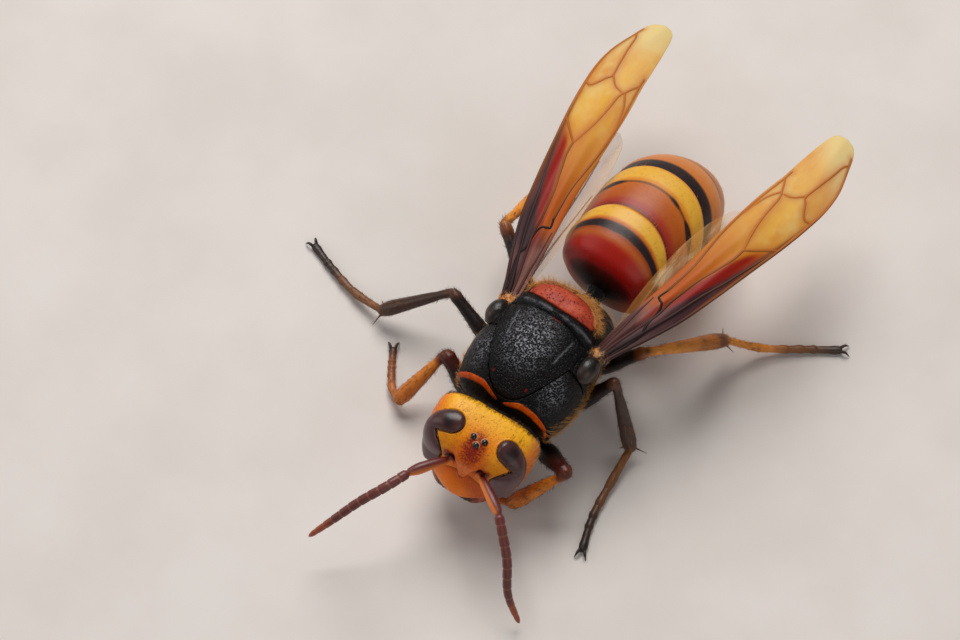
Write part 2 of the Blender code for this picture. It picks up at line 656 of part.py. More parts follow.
def make_wing(name, root, tip, tilt, side, outline, veins, bow, sway):
    """A thin wing with its veins raised in its own surface, alike on both faces."""
    length = (tip - root).length
    lines = []
    for half, line in veins:
        lines.append((half, [wing_outline_point(outline, length, *at) for at in line]))
    flat, faces = wing_mesh(outline, lines, length)
    along, lead, normal = wing_frame(root, tip, tilt, side)
    bm = bmesh.new()
    upper, lower = [], []
    for p in flat:
        share = min(1.0, max(0.0, p.x / length))
        front, rear = wing_edges(outline, share)
        chord = min(1.0, max(0.0, (p.y - rear) / (front - rear)))
        lift = bow * math.sin(math.pi * share)
        lift += WING_CAMBER * (4 * chord * (1 - chord)) * min(1.0, 3 * share)
        aside = p.y + sway * math.sin(math.pi * share)
        middle = root + along * p.x + lead * aside + Vector((0, 0, 1)) * lift
        half = THIN / 2 * (1 - 0.5 * step(share, 0.85, 1.0)) + VEIN_RISE * vein_share(p, lines)
        upper.append(bm.verts.new(middle + normal * half))
        lower.append(bm.verts.new(middle - normal * half))
    sides = {}
    for face in faces:
        bm.faces.new([upper[i] for i in face])
        bm.faces.new([lower[i] for i in reversed(face)])
        for a, b in zip(face, face[1:] + face[:1]):
            sides[frozenset((a, b))] = None if frozenset((a, b)) in sides else (a, b)
    for rim in sides.values():
        if rim:
            a, b = rim
            bm.faces.new((upper[b], upper[a], lower[a]))
            bm.faces.new((upper[b], lower[a], lower[b]))
    loose = [v for v in bm.verts if not v.link_faces]
    bmesh.ops.delete(bm, geom=loose, context="VERTS")
    return finish_mesh(name, bm)


def make_wings():
    made = []
    for side in "lr":
        sign = 1 if side == "l" else -1
        near = [thorax_body("near", GAP), tegula_body("near", side, GAP)]
        root = Vector((sign * WING_ROOT.x, WING_ROOT.y, WING_ROOT.z))
        wing = make_wing(f"forewing_{side}", root, WING_TIPS[side], WING_TILT, side,
                         FOREWING, FOREWING_VEINS, WING_BOW, WING_SWAY[side])
        made.append((combine(wing, near, "DIFFERENCE"), "wing"))
        near = [thorax_body("near", GAP)]
        root = Vector((sign * HINDWING_ROOT.x, HINDWING_ROOT.y, HINDWING_ROOT.z))
        wing = make_wing(f"hindwing_{side}", root, HINDWING_TIPS[side], HINDWING_TILT, side,
                         HINDWING, HINDWING_VEINS, HINDWING_BOW, 0.0)
        made.append((combine(wing, near, "DIFFERENCE"), "wing"))
    return made


def make_leg(key):
    """Coxa with trochanter, femur, tibia with its spurs, and tarsus with its claws."""
    pair, side = key.split("_")
    sign = 1 if side == "l" else -1
    trochanter, knee, ankle = (Vector(p) for p in LEGS[key][:3])
    toes = [Vector(p) for p in LEGS[key][3]]
    root = COXA_ROOTS[pair]
    root = Vector((sign * root.x, root.y, root.z))
    r = COXA_RADIUS[pair]
    elbow = root.lerp(trochanter, 0.78)
    path = [root, root.lerp(elbow, 0.5), elbow, elbow.lerp(trochanter, 0.4), trochanter]
    radii = (r * 1.05, r, r * 0.72, r * 0.62, r * 0.6)
    coxa = tube(f"leg_{key}_coxa", path, radii, 10)
    combine(coxa, [thorax_body("near", GAP)], "DIFFERENCE")
    coxa_near = tube("near", path, radii, 10, grow=GAP)

    r = FEMUR_RADIUS[pair]
    path = smooth_path((trochanter, (trochanter + knee) / 2 + FEMUR_BOW, knee), 8)
    radii = [r * k for k in (0.62, 0.82, 0.98, 1.0, 0.92, 0.8, 0.74, 0.6)]
    femur = tube(f"leg_{key}_femur", path, radii, 10)
    combine(femur, [coxa_near, thorax_body("near", GAP)], "DIFFERENCE")
    femur_near = tube("near", path, radii, 10, grow=GAP)

    r = TIBIA_RADIUS[pair]
    path = smooth_path((knee, (knee + ankle) / 2, ankle), 7)
    radii = [r * k for k in (0.62, 0.7, 0.8, 0.9, 1.0, 1.05, 0.86)]
    tibia = tube(f"leg_{key}_tibia", path, radii, 10)
    combine(tibia, [femur_near], "DIFFERENCE")
    tibia_near = tube("near", path, radii, 10, grow=GAP)
    along = (ankle - knee).normalized()
    toward = (toes[0] - ankle).normalized()
    across = (along + toward).cross(Vector((0, 0, 1))).normalized()
    spurs = []
    for lean in ((0.45,) if pair == "fore" else (0.45, -0.45)):
        foot = ankle - along * 0.5 + across * lean * r
        way = (along - toward * 0.4 + across * lean * 1.8).normalized()
        tip = foot + way * (SPUR_LENGTH[pair] + 0.5)
        spurs.append(tube("spur", [foot, foot.lerp(tip, 0.6), tip], (0.26, 0.2, 0.07), 6))
    combine(tibia, spurs, "UNION")

    r = TARSUS_RADIUS[pair]
    route = smooth_path((ankle, *toes), 60)
    points, radii, done = [route[0]], [r * 0.75], 0.0
    for share in TARSOMERES:
        for part, swell in ((0.12, 0.78), (0.55, 0.95), (0.93, 1.12)):
            points.append(route[min(59, round((done + share * part) * 59))])
            radii.append(r * swell)
        done += share
    points.append(route[-1])
    radii.append(r * 0.8)
    tarsus = tube(f"leg_{key}_tarsus", points, radii, 8)
    ahead = (points[-1] - points[-4]).normalized()
    ahead.z = 0
    across = ahead.cross(Vector((0, 0, 1))).normalized()
    claws = []
    for way in (-1, 1):
        foot = points[-1] - ahead * 0.35
        bend = points[-1] + ahead * CLAW_LENGTH * 0.5 + across * way * CLAW_SPREAD + Vector((0, 0, 0.2))
        tip = points[-1] + ahead * CLAW_LENGTH + across * way * CLAW_SPREAD * 1.5 - Vector((0, 0, 0.15))
        claws.append(tube("claw", [foot, bend, tip], (0.26, 0.25, 0.1), 6))
    combine(tarsus, claws, "UNION")
    combine(tarsus, [tibia_near], "DIFFERENCE")
    flatten_sole(tarsus)
    return [(coxa, "leg"), (femur, "leg"), (tibia, "leg"), (tarsus, "leg")]


def flatten_sole(foot):
    """Cuts the foot off level at the floor."""
    bm = bmesh.new()
    bm.from_mesh(foot.data)
    geom = list(bm.verts) + list(bm.edges) + list(bm.faces)
    cut = bmesh.ops.bisect_plane(bm, geom=geom, plane_co=(0, 0, 0), plane_no=(0, 0, -1),
                                 clear_outer=True)["geom_cut"]
    edges = [g for g in cut if isinstance(g, bmesh.types.BMEdge)]
    bmesh.ops.holes_fill(bm, edges=edges)
    bmesh.ops.recalc_face_normals(bm, faces=bm.faces)
    bm.to_mesh(foot.data)
    bm.free()
    keep_largest(foot)


def centre_on_floor(objects):
    """Moves the model so that the middle of its box stands over the origin, in metres."""
    corners = np.array([v.co for o in objects for v in o.data.vertices])
    low, high = corners.min(axis=0), corners.max(axis=0)
    shift = Vector((-(low[0] + high[0]) / 2, -(low[1] + high[1]) / 2, -low[2]))
    for o in objects:
        o.data.transform(Matrix.Scale(MM, 4) @ Matrix.Translation(shift))


def main():
    clear_scene()
    made = make_head() + make_thorax() + make_gaster() + make_wings()
    made += [(neck(), "black_shell"), (petiole(), "black_shell")]
    for side in "lr":
        made.append((mandible(side), "jaw"))
        made += [(piece, "feeler") for piece in make_antenna(side)]
        made.append((make_tegula(side), "black_shell"))
    for key in LEGS:
        made += make_leg(key)
    materials = {name: make_material(name) for name in MATERIALS}
    for piece, material in made:
        piece.data.materials.clear()
        piece.data.materials.append(materials[material])
        piece.data.shade_smooth()
        piece.data.set_sharp_from_angle(angle=math.radians(50))
    centre_on_floor([piece for piece, _ in made])


main()
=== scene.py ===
"""Finishes a still, life-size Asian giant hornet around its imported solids.

Shapes are worked out in millimetres about a point on the floor under the wing roots, with
the head towards -Y, the hornet's left at +X and +Z up. Each piece is moved into the
model's own frame, in metres, as it is made.
"""

import math

import bpy
import numpy as np
from mathutils import Euler, Matrix, Vector


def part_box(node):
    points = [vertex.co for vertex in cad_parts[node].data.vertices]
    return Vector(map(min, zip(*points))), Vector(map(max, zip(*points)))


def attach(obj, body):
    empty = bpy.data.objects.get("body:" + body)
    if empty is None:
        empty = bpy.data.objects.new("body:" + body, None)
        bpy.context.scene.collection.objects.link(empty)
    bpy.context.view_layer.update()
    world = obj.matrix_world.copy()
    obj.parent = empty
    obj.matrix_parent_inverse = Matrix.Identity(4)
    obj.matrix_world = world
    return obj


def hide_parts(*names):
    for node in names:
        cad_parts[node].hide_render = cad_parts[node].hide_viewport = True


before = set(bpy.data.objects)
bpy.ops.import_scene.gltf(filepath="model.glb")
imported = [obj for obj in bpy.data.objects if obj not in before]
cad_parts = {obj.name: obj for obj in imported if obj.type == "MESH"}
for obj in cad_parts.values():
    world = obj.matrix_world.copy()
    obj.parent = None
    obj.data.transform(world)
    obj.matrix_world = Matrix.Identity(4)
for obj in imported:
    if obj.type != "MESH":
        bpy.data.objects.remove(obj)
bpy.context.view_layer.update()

bl_info = {
    "name": "Asian giant hornet",
    "version": (1, 0, 0),
    "blender": (4, 5, 0),
    "location": "3D View > Sidebar > Hornet",
    "description": "A still, life-size hornet with its shell, wings, hair and stage",
    "category": "Object",
}

MM = 0.001
LEFT_CAP, RIGHT_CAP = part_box("tegula_l"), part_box("tegula_r")
ORIGIN = np.array((
    (LEFT_CAP[1].x + RIGHT_CAP[0].x) / 2,
    (LEFT_CAP[0].y + LEFT_CAP[1].y) / 2,
    0.0,
))
SIDES = {"l": 1, "r": -1}

# The camera: its turn round the hornet, height, roll, distance and lens.
CAMERA_TURN = math.radians(38.88)
CAMERA_RISE = math.radians(63.15)
CAMERA_ROLL = math.radians(-2.92)
CAMERA_DISTANCE = 309.8
CAMERA_ASIDE = (-6.58, 1.57)
CAMERA_TARGET = np.array((0, 2.0, 8.0))
CAMERA_LENS = 134.35
SENSOR_WIDTH = 36.0

# The lamps: name, place in metres, size, power and colour.
LAMP_TARGET = Vector((0, 0, 0.006))
LAMPS = (
    ("key_lamp", (-0.25, 0.3, 0.55), 0.42, 4.1, (1.0, 0.98, 0.95)),
    ("fill_lamp", (0.5, -0.35, 0.4), 0.6, 1.0, (1.0, 0.99, 0.97)),
    ("side_lamp", (-0.5, -0.3, 0.3), 0.4, 0.7, (0.97, 0.98, 1.0)),
)

# The head: half width, half heights and half depths of a rounded box, then its place.
HEAD_HALF_WIDTH = 4.85
HEAD_TOP = 3.5
HEAD_BOTTOM = 4.3
HEAD_FRONT = 3.7
HEAD_REAR = 1.7
NECK_HOLLOW = 1.1
HEAD_POWER = 3.3
HEAD_TAPER = 0.41
FACE_SHEAR = 0.28
HEAD_CUTS = 88
HEAD_PLACE = np.array((0.2, -8.75, 7.05))
HEAD_TURN = np.array(Euler((math.radians(-2), math.radians(10), math.radians(7.4)), "XYZ").to_matrix())
CLYPEUS_AT = (0.0, -2.5)
CLYPEUS_REACH = (2.8, 2.1)
CLYPEUS_RISE = 0.8
SHIELD_RISE = 0.45
SOCKET_DEPTH = 0.45
SOCKET_AT = (1.3, 0.67)
OCELLUS_RADIUS = 0.3
OCELLUS_RIM = 0.06
OCELLI_AT = ((0, -2.5, 3.1), (-0.53, -1.97, 3.3), (0.53, -1.97, 3.3))

# A compound eye: points of its middle line on the head and its half width there.
EYE_LINE = (
    (2.78, -1.68, 3.25, 1.05), (3.35, -1.8, 2.95, 0.98), (3.87, -1.95, 2.6, 0.85),
    (4.15, -2.15, 2.15, 0.75), (4.05, -2.55, 1.5, 1.02), (3.6, -2.9, 0.6, 1.38),
    (3.5, -3.1, -0.3, 1.2),
)
EYE_DOME = 0.42
EYE_DEPTH = 1.0

# The jaws: points of the left one on the head, its radii, and the flap between the two.
JAW_LINE = ((2.1, -1.6, -3.3), (2.2, -2.6, -4.1), (1.6, -3.35, -4.5), (0.42, -3.75, -4.8))
JAW_RADII = (0.9, 0.95, 0.94, 0.88, 0.8, 0.7, 0.58, 0.36)
JAW_TEETH_AT = ((0.8, 0.03, 0.12), (0.9, 0.025, 0.1))
MOUTH_FLAP_AT = np.array((0, -2.85, -4.25))
MOUTH_FLAP_HALF = np.array((1.7, 0.95, 0.75))

# The thorax: y, half width, height of the widest level, top and bottom.
THORAX = (
    (-6.7, 3.1, 7.3, 8.4, 5.4), (-6.25, 4.3, 7.7, 9.5, 4.6), (-5.0, 5.0, 8.0, 10.9, 3.9),
    (-3.0, 5.4, 8.1, 12.0, 3.4), (-1.0, 5.3, 8.0, 12.75, 3.1), (1.0, 5.0, 7.9, 13.1, 3.0),
    (2.6, 4.6, 7.8, 13.15, 3.1), (3.9, 4.3, 7.6, 12.85, 3.3), (4.8, 4.15, 7.4, 12.0, 3.6),
    (5.5, 3.75, 7.3, 10.8, 3.9), (6.1, 3.15, 7.1, 9.5, 4.4), (6.6, 2.3, 7.0, 8.4, 5.2),
    (6.8, 1.4, 6.9, 7.8, 5.9),
)
THORAX_POWER = 2.5
PRONOTUM_NOTCH_Y = -5.95
PRONOTUM_SWEEP = 7.7
PRONOTUM_SPREAD = 4.7
PRONOTUM_ROUND = 2.5
PRONOTUM_END_Y = -1.3
SCUTELLUM_FRONT_Y = 2.35
SCUTELLUM_REAR_Y = 4.75
SCUTELLUM_HALF_WIDTH = 3.3
PROPODEUM_Y = 5.1
THORAX_END_Y = 6.8
PETIOLE_RADIUS = 0.95
PETIOLE_SPAN = (6.7, 8.3)
THORAX_CORE_Z = 7.4
PLATE_EDGE = 0.26
PLATE_ROLL = 0.24
TEGULA_AT = np.array((4.75, 0.0, 10.75))
TEGULA_HALF = np.array((0.95, 1.3, 0.95))
TEGULA_LEAN = math.radians(35)

# Neck and waist: name, three points of the middle line, radii there and the solid's name.
SLEEVES = (
    ("neck_sleeve", ((0.5, -9.0, 7.2), (0.3, -7.6, 7.15), (0.1, -6.2, 7.0)), (1.3, 1.2, 1.5), "neck"),
    ("waist", ((0, PETIOLE_SPAN[0], 6.9), (0, 7.45, 6.9), (0, PETIOLE_SPAN[1], 6.95)),
     (1.15, PETIOLE_RADIUS * 0.85, 1.2), "petiole"),
)

# Small plates between wing cap and wing: middle, then half length, width and height.
WING_ROOT_LUMPS = (
    (4.55, 1.35, 10.85, 0.35, 0.3, 0.25), (5.1, 1.2, 10.45, 0.45, 0.3, 0.25),
    (4.15, 1.2, 11.05, 0.4, 0.35, 0.3), (5.5, 1.6, 10.35, 0.4, 0.22, 0.2),
    (4.85, 1.75, 10.65, 0.35, 0.4, 0.2), (4.3, 1.85, 10.75, 0.3, 0.3, 0.2),
)

# The gaster: number of the ring's rear edge, y and z of its middle, half width, half
# height and how far it leans back in degrees.
GASTER = (
    (0.0, 8.1, 6.95, 1.3, 1.15, 0), (0.04, 8.35, 7.25, 2.8, 2.35, 0),
    (0.13, 8.9, 7.5, 4.1, 3.4, 0), (0.3, 10.0, 7.65, 4.85, 4.25, 0),
    (0.62, 12.0, 7.6, 5.15, 4.8, 0), (1.0, 14.1, 7.4, 5.35, 4.95, 3),
    (1.5, 16.5, 7.0, 5.4, 4.95, 8), (2.0, 18.6, 6.5, 5.3, 4.8, 14),
    (3.0, 20.4, 4.95, 4.6, 4.4, 36), (4.0, 21.5, 3.75, 3.7, 3.5, 56),
    (5.0, 22.6, 2.5, 2.5, 2.4, 68), (6.0, 23.9, 1.15, 0.6, 0.5, 76),
)
GASTER_POWER = 2.15
RINGS = 6
TERGITE_TUCK = 0.035
TERGITE_SWEEP = 0.7

# Wings: root and tip of each side, and the outline as share of the length, front, rear.
WING_ROOT = (4.9, 1.5, 10.55)
WING_TIPS = {"l": (10.0, 31.5, 11.1), "r": (-8.9, 31.6, 11.4)}
WING_TILT = math.radians(5)
WING_BOW = 1.0
WING_SWAY = {"l": 0.25, "r": 0.1}
WING_CAMBER = 0.45
FOREWING = (
    (0.0, 0.6, -0.85), (0.06, 1.05, -1.0), (0.14, 1.75, -1.05), (0.25, 2.6, -1.0),
    (0.36, 3.05, -0.95), (0.5, 3.5, -1.1), (0.6, 3.8, -1.18), (0.7, 3.95, -1.15),
    (0.78, 3.9, -1.0), (0.85, 3.5, -1.0), (0.93, 2.5, -0.92), (0.965, 2.0, -0.82),
    (0.985, 1.55, -0.6), (0.995, 1.1, -0.25), (1.0, 0.55, 0.2),
)
HINDWING_ROOT = (4.6, 3.0, 9.75)
HINDWING_TIPS = {"l": (7.3, 20.8, 9.9), "r": (-6.9, 20.8, 9.9)}
HINDWING_TILT = math.radians(30)
HINDWING_BOW = 0.3
HINDWING = (
    (0.0, 0.45, -0.45), (0.1, 0.7, -0.8), (0.3, 1.2, -1.5), (0.5, 1.6, -1.9),
    (0.7, 1.7, -2.0), (0.86, 1.5, -1.7), (0.95, 1.0, -1.2), (1.0, 0.2, -0.4),
)
# Veins: radius at the start and end, how dark, then share of the length and of the chord.
FOREWING_VEINS = (
    (0.17, 0.13, 0.65, ((0.01, 0.88), (0.1, 0.95), (0.3, 0.97), (0.5, 0.97), (0.64, 0.97))),
    (0.14, 0.1, 0.3, ((0.64, 0.97), (0.72, 0.97), (0.82, 0.98), (0.9, 0.97), (0.96, 0.93))),
    (0.2, 0.09, 0.9, ((0.01, 0.6), (0.1, 0.7), (0.2, 0.74), (0.3, 0.77), (0.42, 0.87),
                      (0.5, 0.92), (0.575, 0.95))),
    (0.13, 0.11, 0.4, ((0.585, 0.95), (0.57, 0.88), (0.54, 0.74), (0.512, 0.6))),
    (0.17, 0.12, 0.45, ((0.01, 0.45), (0.1, 0.5), (0.2, 0.53), (0.26, 0.46), (0.34, 0.47),
                        (0.42, 0.56), (0.48, 0.61), (0.512, 0.6))),
    (0.12, 0.1, 0.05, ((0.512, 0.6), (0.55, 0.5), (0.6, 0.4), (0.65, 0.34), (0.7, 0.3),
                       (0.735, 0.2), (0.77, 0.06))),
    (0.12, 0.1, 0.05, ((0.72, 0.97), (0.713, 0.86), (0.75, 0.66), (0.77, 0.58), (0.82, 0.62),
                       (0.87, 0.7), (0.92, 0.83), (0.935, 0.93))),
    (0.11, 0.08, 0.0, ((0.77, 0.58), (0.74, 0.45), (0.725, 0.27))),
    (0.11, 0.08, 0.0, ((0.73, 0.23), (0.67, 0.1), (0.6, 0.05))),
    (0.15, 0.12, 1.0, ((0.03, 0.8), (0.1, 0.78), (0.16, 0.6), (0.222, 0.43), (0.234, 0.36),
                       (0.24, 0.24), (0.25, 0.17), (0.275, 0.2))),
    (0.14, 0.1, 0.35, ((0.275, 0.2), (0.375, 0.17), (0.45, 0.1), (0.53, 0.05), (0.62, 0.04),
                        (0.72, 0.05), (0.8, 0.05))),
    (0.18, 0.08, 0.3, ((0.01, 0.2), (0.08, 0.2), (0.16, 0.12), (0.235, 0.08))),
)
HINDWING_VEINS = (
    (0.16, 0.08, 0.5, ((0.01, 0.8), (0.2, 0.92), (0.5, 0.93), (0.84, 0.93))),
    (0.12, 0.06, 0.35, ((0.03, 0.6), (0.3, 0.6), (0.55, 0.5), (0.8, 0.5))),
    (0.12, 0.05, 0.3, ((0.03, 0.4), (0.2, 0.35), (0.45, 0.2), (0.6, 0.12))),
    (0.06, 0.05, 0.25, ((0.5, 0.93), (0.55, 0.7), (0.56, 0.5))),
)
# Inner edge of the dark band and of the red strip, as share of the length and of the chord.
DARK_EDGE = ((0.0, 0.15), (0.1, 0.28), (0.16, 0.4), (0.22, 0.52), (0.285, 0.64), (0.35, 0.72),
             (0.41, 0.8), (0.48, 0.87), (0.57, 0.92), (0.7, 0.985), (1.0, 1.05))
RED_EDGE = ((0.0, 0.1), (0.12, 0.18), (0.2, 0.3), (0.26, 0.4), (0.33, 0.48), (0.39, 0.57),
            (0.455, 0.62), (0.52, 0.74), (0.6, 0.93), (0.7, 0.97), (1.0, 1.03))

# Antennae: scape end, points of the flagellum and its tip, for each side.
SCAPE_ENDS = {"l": (5.75, -14.35, 8.4), "r": (-2.5, -15.75, 8.6)}
FLAGELLA = {
    "l": ((7.0, -15.45, 7.4), (8.2, -16.55, 6.2), (9.6, -18.35, 3.6), (11.2, -19.05, 1.0)),
    "r": ((-3.4, -18.0, 8.4), (-4.7, -20.1, 7.4), (-5.9, -22.15, 6.0), (-7.3, -24.05, 4.0)),
}
FLAGELLUM_SEGMENTS = 11
SCAPE_RADIUS = 0.45
FLAGELLUM_RADIUS = 0.43
FEELER_UNDER = np.array((-0.15, -0.9, -0.4)) / math.hypot(0.15, 0.9, 0.4)

REARWARD = (0.0, 1.0, 0.0)

# Legs: trochanter, knee, end of the tibia, points of the tarsus and its tip.
LEGS = {
    "fore_l": ((3.3, -5.3, 3.0), (7.7, -7.2, 6.0), (4.2, -10.5, 1.3),
               ((2.2, -10.9, 0.75), (-0.4, -10.4, 0.4), (-2.0, -9.7, 0.3))),
    "fore_r": ((-3.3, -5.3, 3.0), (-7.5, -4.0, 6.0), (-9.7, -8.3, 1.3),
               ((-11.0, -7.5, 0.75), (-12.3, -5.9, 0.4), (-13.4, -4.2, 0.3))),
    "mid_l": ((3.6, -0.6, 2.7), (6.8, 1.3, 8.6), (9.6, -0.3, 1.5),
              ((9.9, -3.6, 0.75), (10.5, -7.4, 0.4), (11.5, -10.2, 0.3))),
    "mid_r": ((-3.6, -0.6, 2.7), (-10.6, 1.2, 6.0), (-16.1, -2.2, 1.6),
              ((-19.2, -1.9, 0.8), (-23.2, -0.8, 0.4), (-25.4, 0.0, 0.3))),
    "hind_l": ((3.1, 3.4, 3.0), (7.2, 5.1, 8.6), (10.6, 12.7, 2.6),
               ((13.2, 14.6, 0.95), (16.6, 17.2, 0.4), (18.9, 18.8, 0.3))),
    "hind_r": ((-3.1, 3.9, 3.0), (-10.9, 9.3, 6.2), (-11.3, 17.9, 1.6),
               ((-11.7, 21.0, 0.8), (-12.4, 25.2, 0.4), (-13.0, 28.0, 0.3))),
}
COXA_ROOTS = {"fore": (1.9, -4.6, 5.0), "mid": (2.1, -0.4, 5.0), "hind": (2.0, 3.0, 5.0)}
COXA_RADIUS = {"fore": 1.05, "mid": 1.1, "hind": 1.15}
FEMUR_RADIUS = {"fore": 0.92, "mid": 0.72, "hind": 0.76}
TIBIA_RADIUS = {"fore": 0.66, "mid": 0.62, "hind": 0.66}
TARSUS_RADIUS = {"fore": 0.36, "mid": 0.38, "hind": 0.38}
SPUR_LENGTH = {"fore": 0.6, "mid": 1.2, "hind": 0.9}
TARSOMERES = (0.4, 0.17, 0.13, 0.1, 0.2)
CLAW_LENGTH = 0.75
CLAW_SPREAD = 0.34
DOME_STEPS = (90, 65, 42, 20)
DOME_RISE = 0.6
LIMB_PARTS = ("coxa", "femur", "tibia", "tarsus")
FEMUR_BOW = (0, 0, 0.25)
SPUR_RADIUS = 0.1
SPUR_ROOT = 0.3
CLAW_RADIUS = 0.17
ROUTE_STEPS = 240

# A leg's sections: shares of the length, and there the share of the section's own radius.
SECTIONS = {
    "coxa": ((0, 0.5, 0.9, 1), (1.05, 1.02, 0.78, 0.66)),
    "trochanter": ((0, 0.5, 1), (0.6, 0.66, 0.58)),
    "femur": ((0, 0.14, 0.28, 0.43, 0.57, 0.71, 0.86, 0.95, 1),
              (0.62, 0.84, 0.98, 1.0, 0.92, 0.8, 0.74, 0.76, 0.6)),
    "tibia": ((0, 0.08, 0.17, 0.33, 0.5, 0.67, 0.9, 1), (0.6, 0.66, 0.64, 0.8, 0.9, 1.0, 1.06, 0.86)),
    "spur": ((0, 1), (0.9, 0.2)),
    "joint": ((0, 0.08, 0.5, 0.85, 1), (0.78, 0.84, 0.92, 1.05, 0.95)),
    "claw": ((0, 0.5, 1), (0.9, 0.75, 0.2)),
}


def paint(red, green, blue):
    """A colour in linear light from the usual 0 to 255 of a screen."""
    return tuple(((c / 255 + 0.055) / 1.055) ** 2.4 for c in (red, green, blue))


def colour_property(label, text, red, green, blue):
    return bpy.props.FloatVectorProperty(
        name=label, description=text, subtype="COLOR", size=3, min=0.0, max=1.0,
        default=paint(red, green, blue),
    )


class HornetSizes(bpy.types.PropertyGroup):
    """Sizes of the finish that a user may change, in millimetres"""

    membrane: bpy.props.FloatProperty(
        name="Membrane", description="Half thickness of a wing's membrane in millimetres",
        default=0.05, min=0.01, max=0.2, unit="NONE",
    )
    hair_width: bpy.props.FloatProperty(
        name="Hair width", description="Width of a hair at its root in millimetres",
        default=0.045, min=0.01, max=0.2, unit="NONE",
    )
    hair_length: bpy.props.FloatProperty(
        name="Hair length", description="Length of all hair as a share of the modelled one",
        default=1.0, min=0.2, max=2.0, subtype="FACTOR",
    )
    hair_amount: bpy.props.FloatProperty(
        name="Hair amount", description="Number of hairs as a share of the modelled one",
        default=1.0, min=0.1, max=1.2, subtype="FACTOR",
    )


class HornetColours(bpy.types.PropertyGroup):
    """Colours of the finish that a user may change"""

    amber: colour_property("Amber", "The head's yellow-orange shell", 244, 156, 10)
    # Painted highlight: the crown's paler yellow stands for light falling on it.
    crown_highlight: colour_property("Pale amber", "The head's crown", 250, 180, 32)
    clypeus: colour_property("Clypeus", "The smooth plate over the jaws", 246, 124, 8)
    stain: colour_property("Stain", "The red-brown round the small eyes", 142, 30, 4)
    eye: colour_property("Eye", "The compound eyes", 70, 38, 36)
    black: colour_property("Black", "The thorax", 11, 10, 12)
    crescent: colour_property("Crescent", "The collar's two crescents", 226, 100, 4)
    scutellum: colour_property("Scutellum", "The coral plate behind the wings", 152, 36, 22)
    deep_red: colour_property("Deep red", "The gaster's first ring", 160, 10, 2)
    brown: colour_property("Brown", "The gaster's brown-orange bands", 176, 84, 26)
    band_black: colour_property("Band black", "The gaster's dark bands", 34, 22, 24)
    band_yellow: colour_property("Band yellow", "The gaster's yellow bands", 228, 172, 58)
    wing_dark: colour_property("Wing dark", "The wing's leading band", 56, 30, 34)
    wing_red: colour_property("Wing red", "The strip behind the leading band", 142, 20, 6)
    wing_amber: colour_property("Wing amber", "The wing's outer membrane", 240, 184, 50)
    wing_pale: colour_property("Wing pale", "The wing's tip", 238, 210, 126)
    feeler: colour_property("Feeler", "The antennae", 108, 46, 42)
    leg_orange: colour_property("Leg orange", "Tibiae of the hind legs", 232, 146, 44)
    leg_black: colour_property("Leg black", "Coxae and femora", 22, 13, 11)
    hair_gold: colour_property("Golden hair", "The pale fringes", 240, 162, 70)
    hair_dark: colour_property("Dark hair", "Bristles of head, legs and collar", 20, 14, 12)
    floor: colour_property("Floor", "The plain floor", 226, 219, 214)


# Small tools for points and curves.


def unit(vectors):
    vectors = np.asarray(vectors, float)
    return vectors / np.maximum(np.linalg.norm(vectors, axis=-1, keepdims=True), 1e-12)


def ease(value, low, high):
    """A smooth step from 0 at low to 1 at high."""
    t = np.clip((value - low) / (high - low), 0, 1)
    return t * t * (3 - 2 * t)


def hill(x, z, width, height):
    """A smooth hill of height 1 over an ellipse."""
    reach = (x / width) ** 2 + (z / height) ** 2
    return np.where(reach < 1, (1 - reach) ** 2, 0.0)


def ridge(value, middle, width):
    return np.exp(-(((value - middle) / width) ** 2))


def read_table(rows, places):
    """Rows of a table read at other places of its first column, along smooth curves."""
    table = np.array(rows, float)
    keys = table[:, 0]
    slopes = np.gradient(table[:, 1:], keys, axis=0)
    places = np.clip(np.asarray(places, float), keys[0], keys[-1])
    i = np.clip(np.searchsorted(keys, places) - 1, 0, len(keys) - 2)
    span = (keys[i + 1] - keys[i])[..., None]
    t = (places[..., None] - keys[i][..., None]) / span
    start, end = table[i, 1:], table[i + 1, 1:]
    return (
        (2 * t**3 - 3 * t**2 + 1) * start + (t**3 - 2 * t**2 + t) * span * slopes[i]
        + (3 * t**2 - 2 * t**3) * end + (t**3 - t**2) * span * slopes[i + 1]
    )


def smooth_path(points, count):
    """Evenly spread points of a smooth curve through a few given ones."""
    given = np.array(points, float)
    steps = np.linalg.norm(np.diff(given, axis=0), axis=1)
    lengths = np.concatenate([[0.0], np.cumsum(steps)])
    return read_table(np.column_stack([lengths, given]), np.linspace(0, lengths[-1], count))


def oval(angles, power):
    c, s = np.cos(angles), np.sin(angles)
    return np.sign(c) * np.abs(c) ** (2 / power), np.sign(s) * np.abs(s) ** (2 / power)


def turn_angles(count, half_step=False):
    return 2 * math.pi * (np.arange(count) + 0.5 * half_step) / count


def to_frame(points):
    return np.asarray(points, float) * MM + ORIGIN


def from_frame(points):
    return (np.asarray(points, float) - ORIGIN) / MM


# Small tools for objects.


def deselect():
    bpy.ops.object.select_all(action="DESELECT")


def read_points(made):
    found = np.zeros(len(made.data.vertices) * 3)
    made.data.vertices.foreach_get("co", found)
    return found.reshape(-1, 3)


def write_points(made, points):
    made.data.vertices.foreach_set("co", np.asarray(points, float).ravel())
    made.data.update()


def write_marks(made, marks):
    """Stores a number for each vertex under each name, for the materials to read."""
    for name, values in marks.items():
        stored = made.data.attributes.new(name, "FLOAT", "POINT")
        stored.data.foreach_set("value", np.asarray(values, float).ravel())


def fresh(name, add, **settings):
    """A new piece from one of the editor's own shapes."""
    deselect()
    add(**settings)
    made = bpy.context.active_object
    made.name = made.data.name = name
    return made


def mirrored(points, sign):
    """Points of the left side, or their mirror image where sign is -1."""
    return np.asarray(points, float) * np.array((sign, 1, 1))


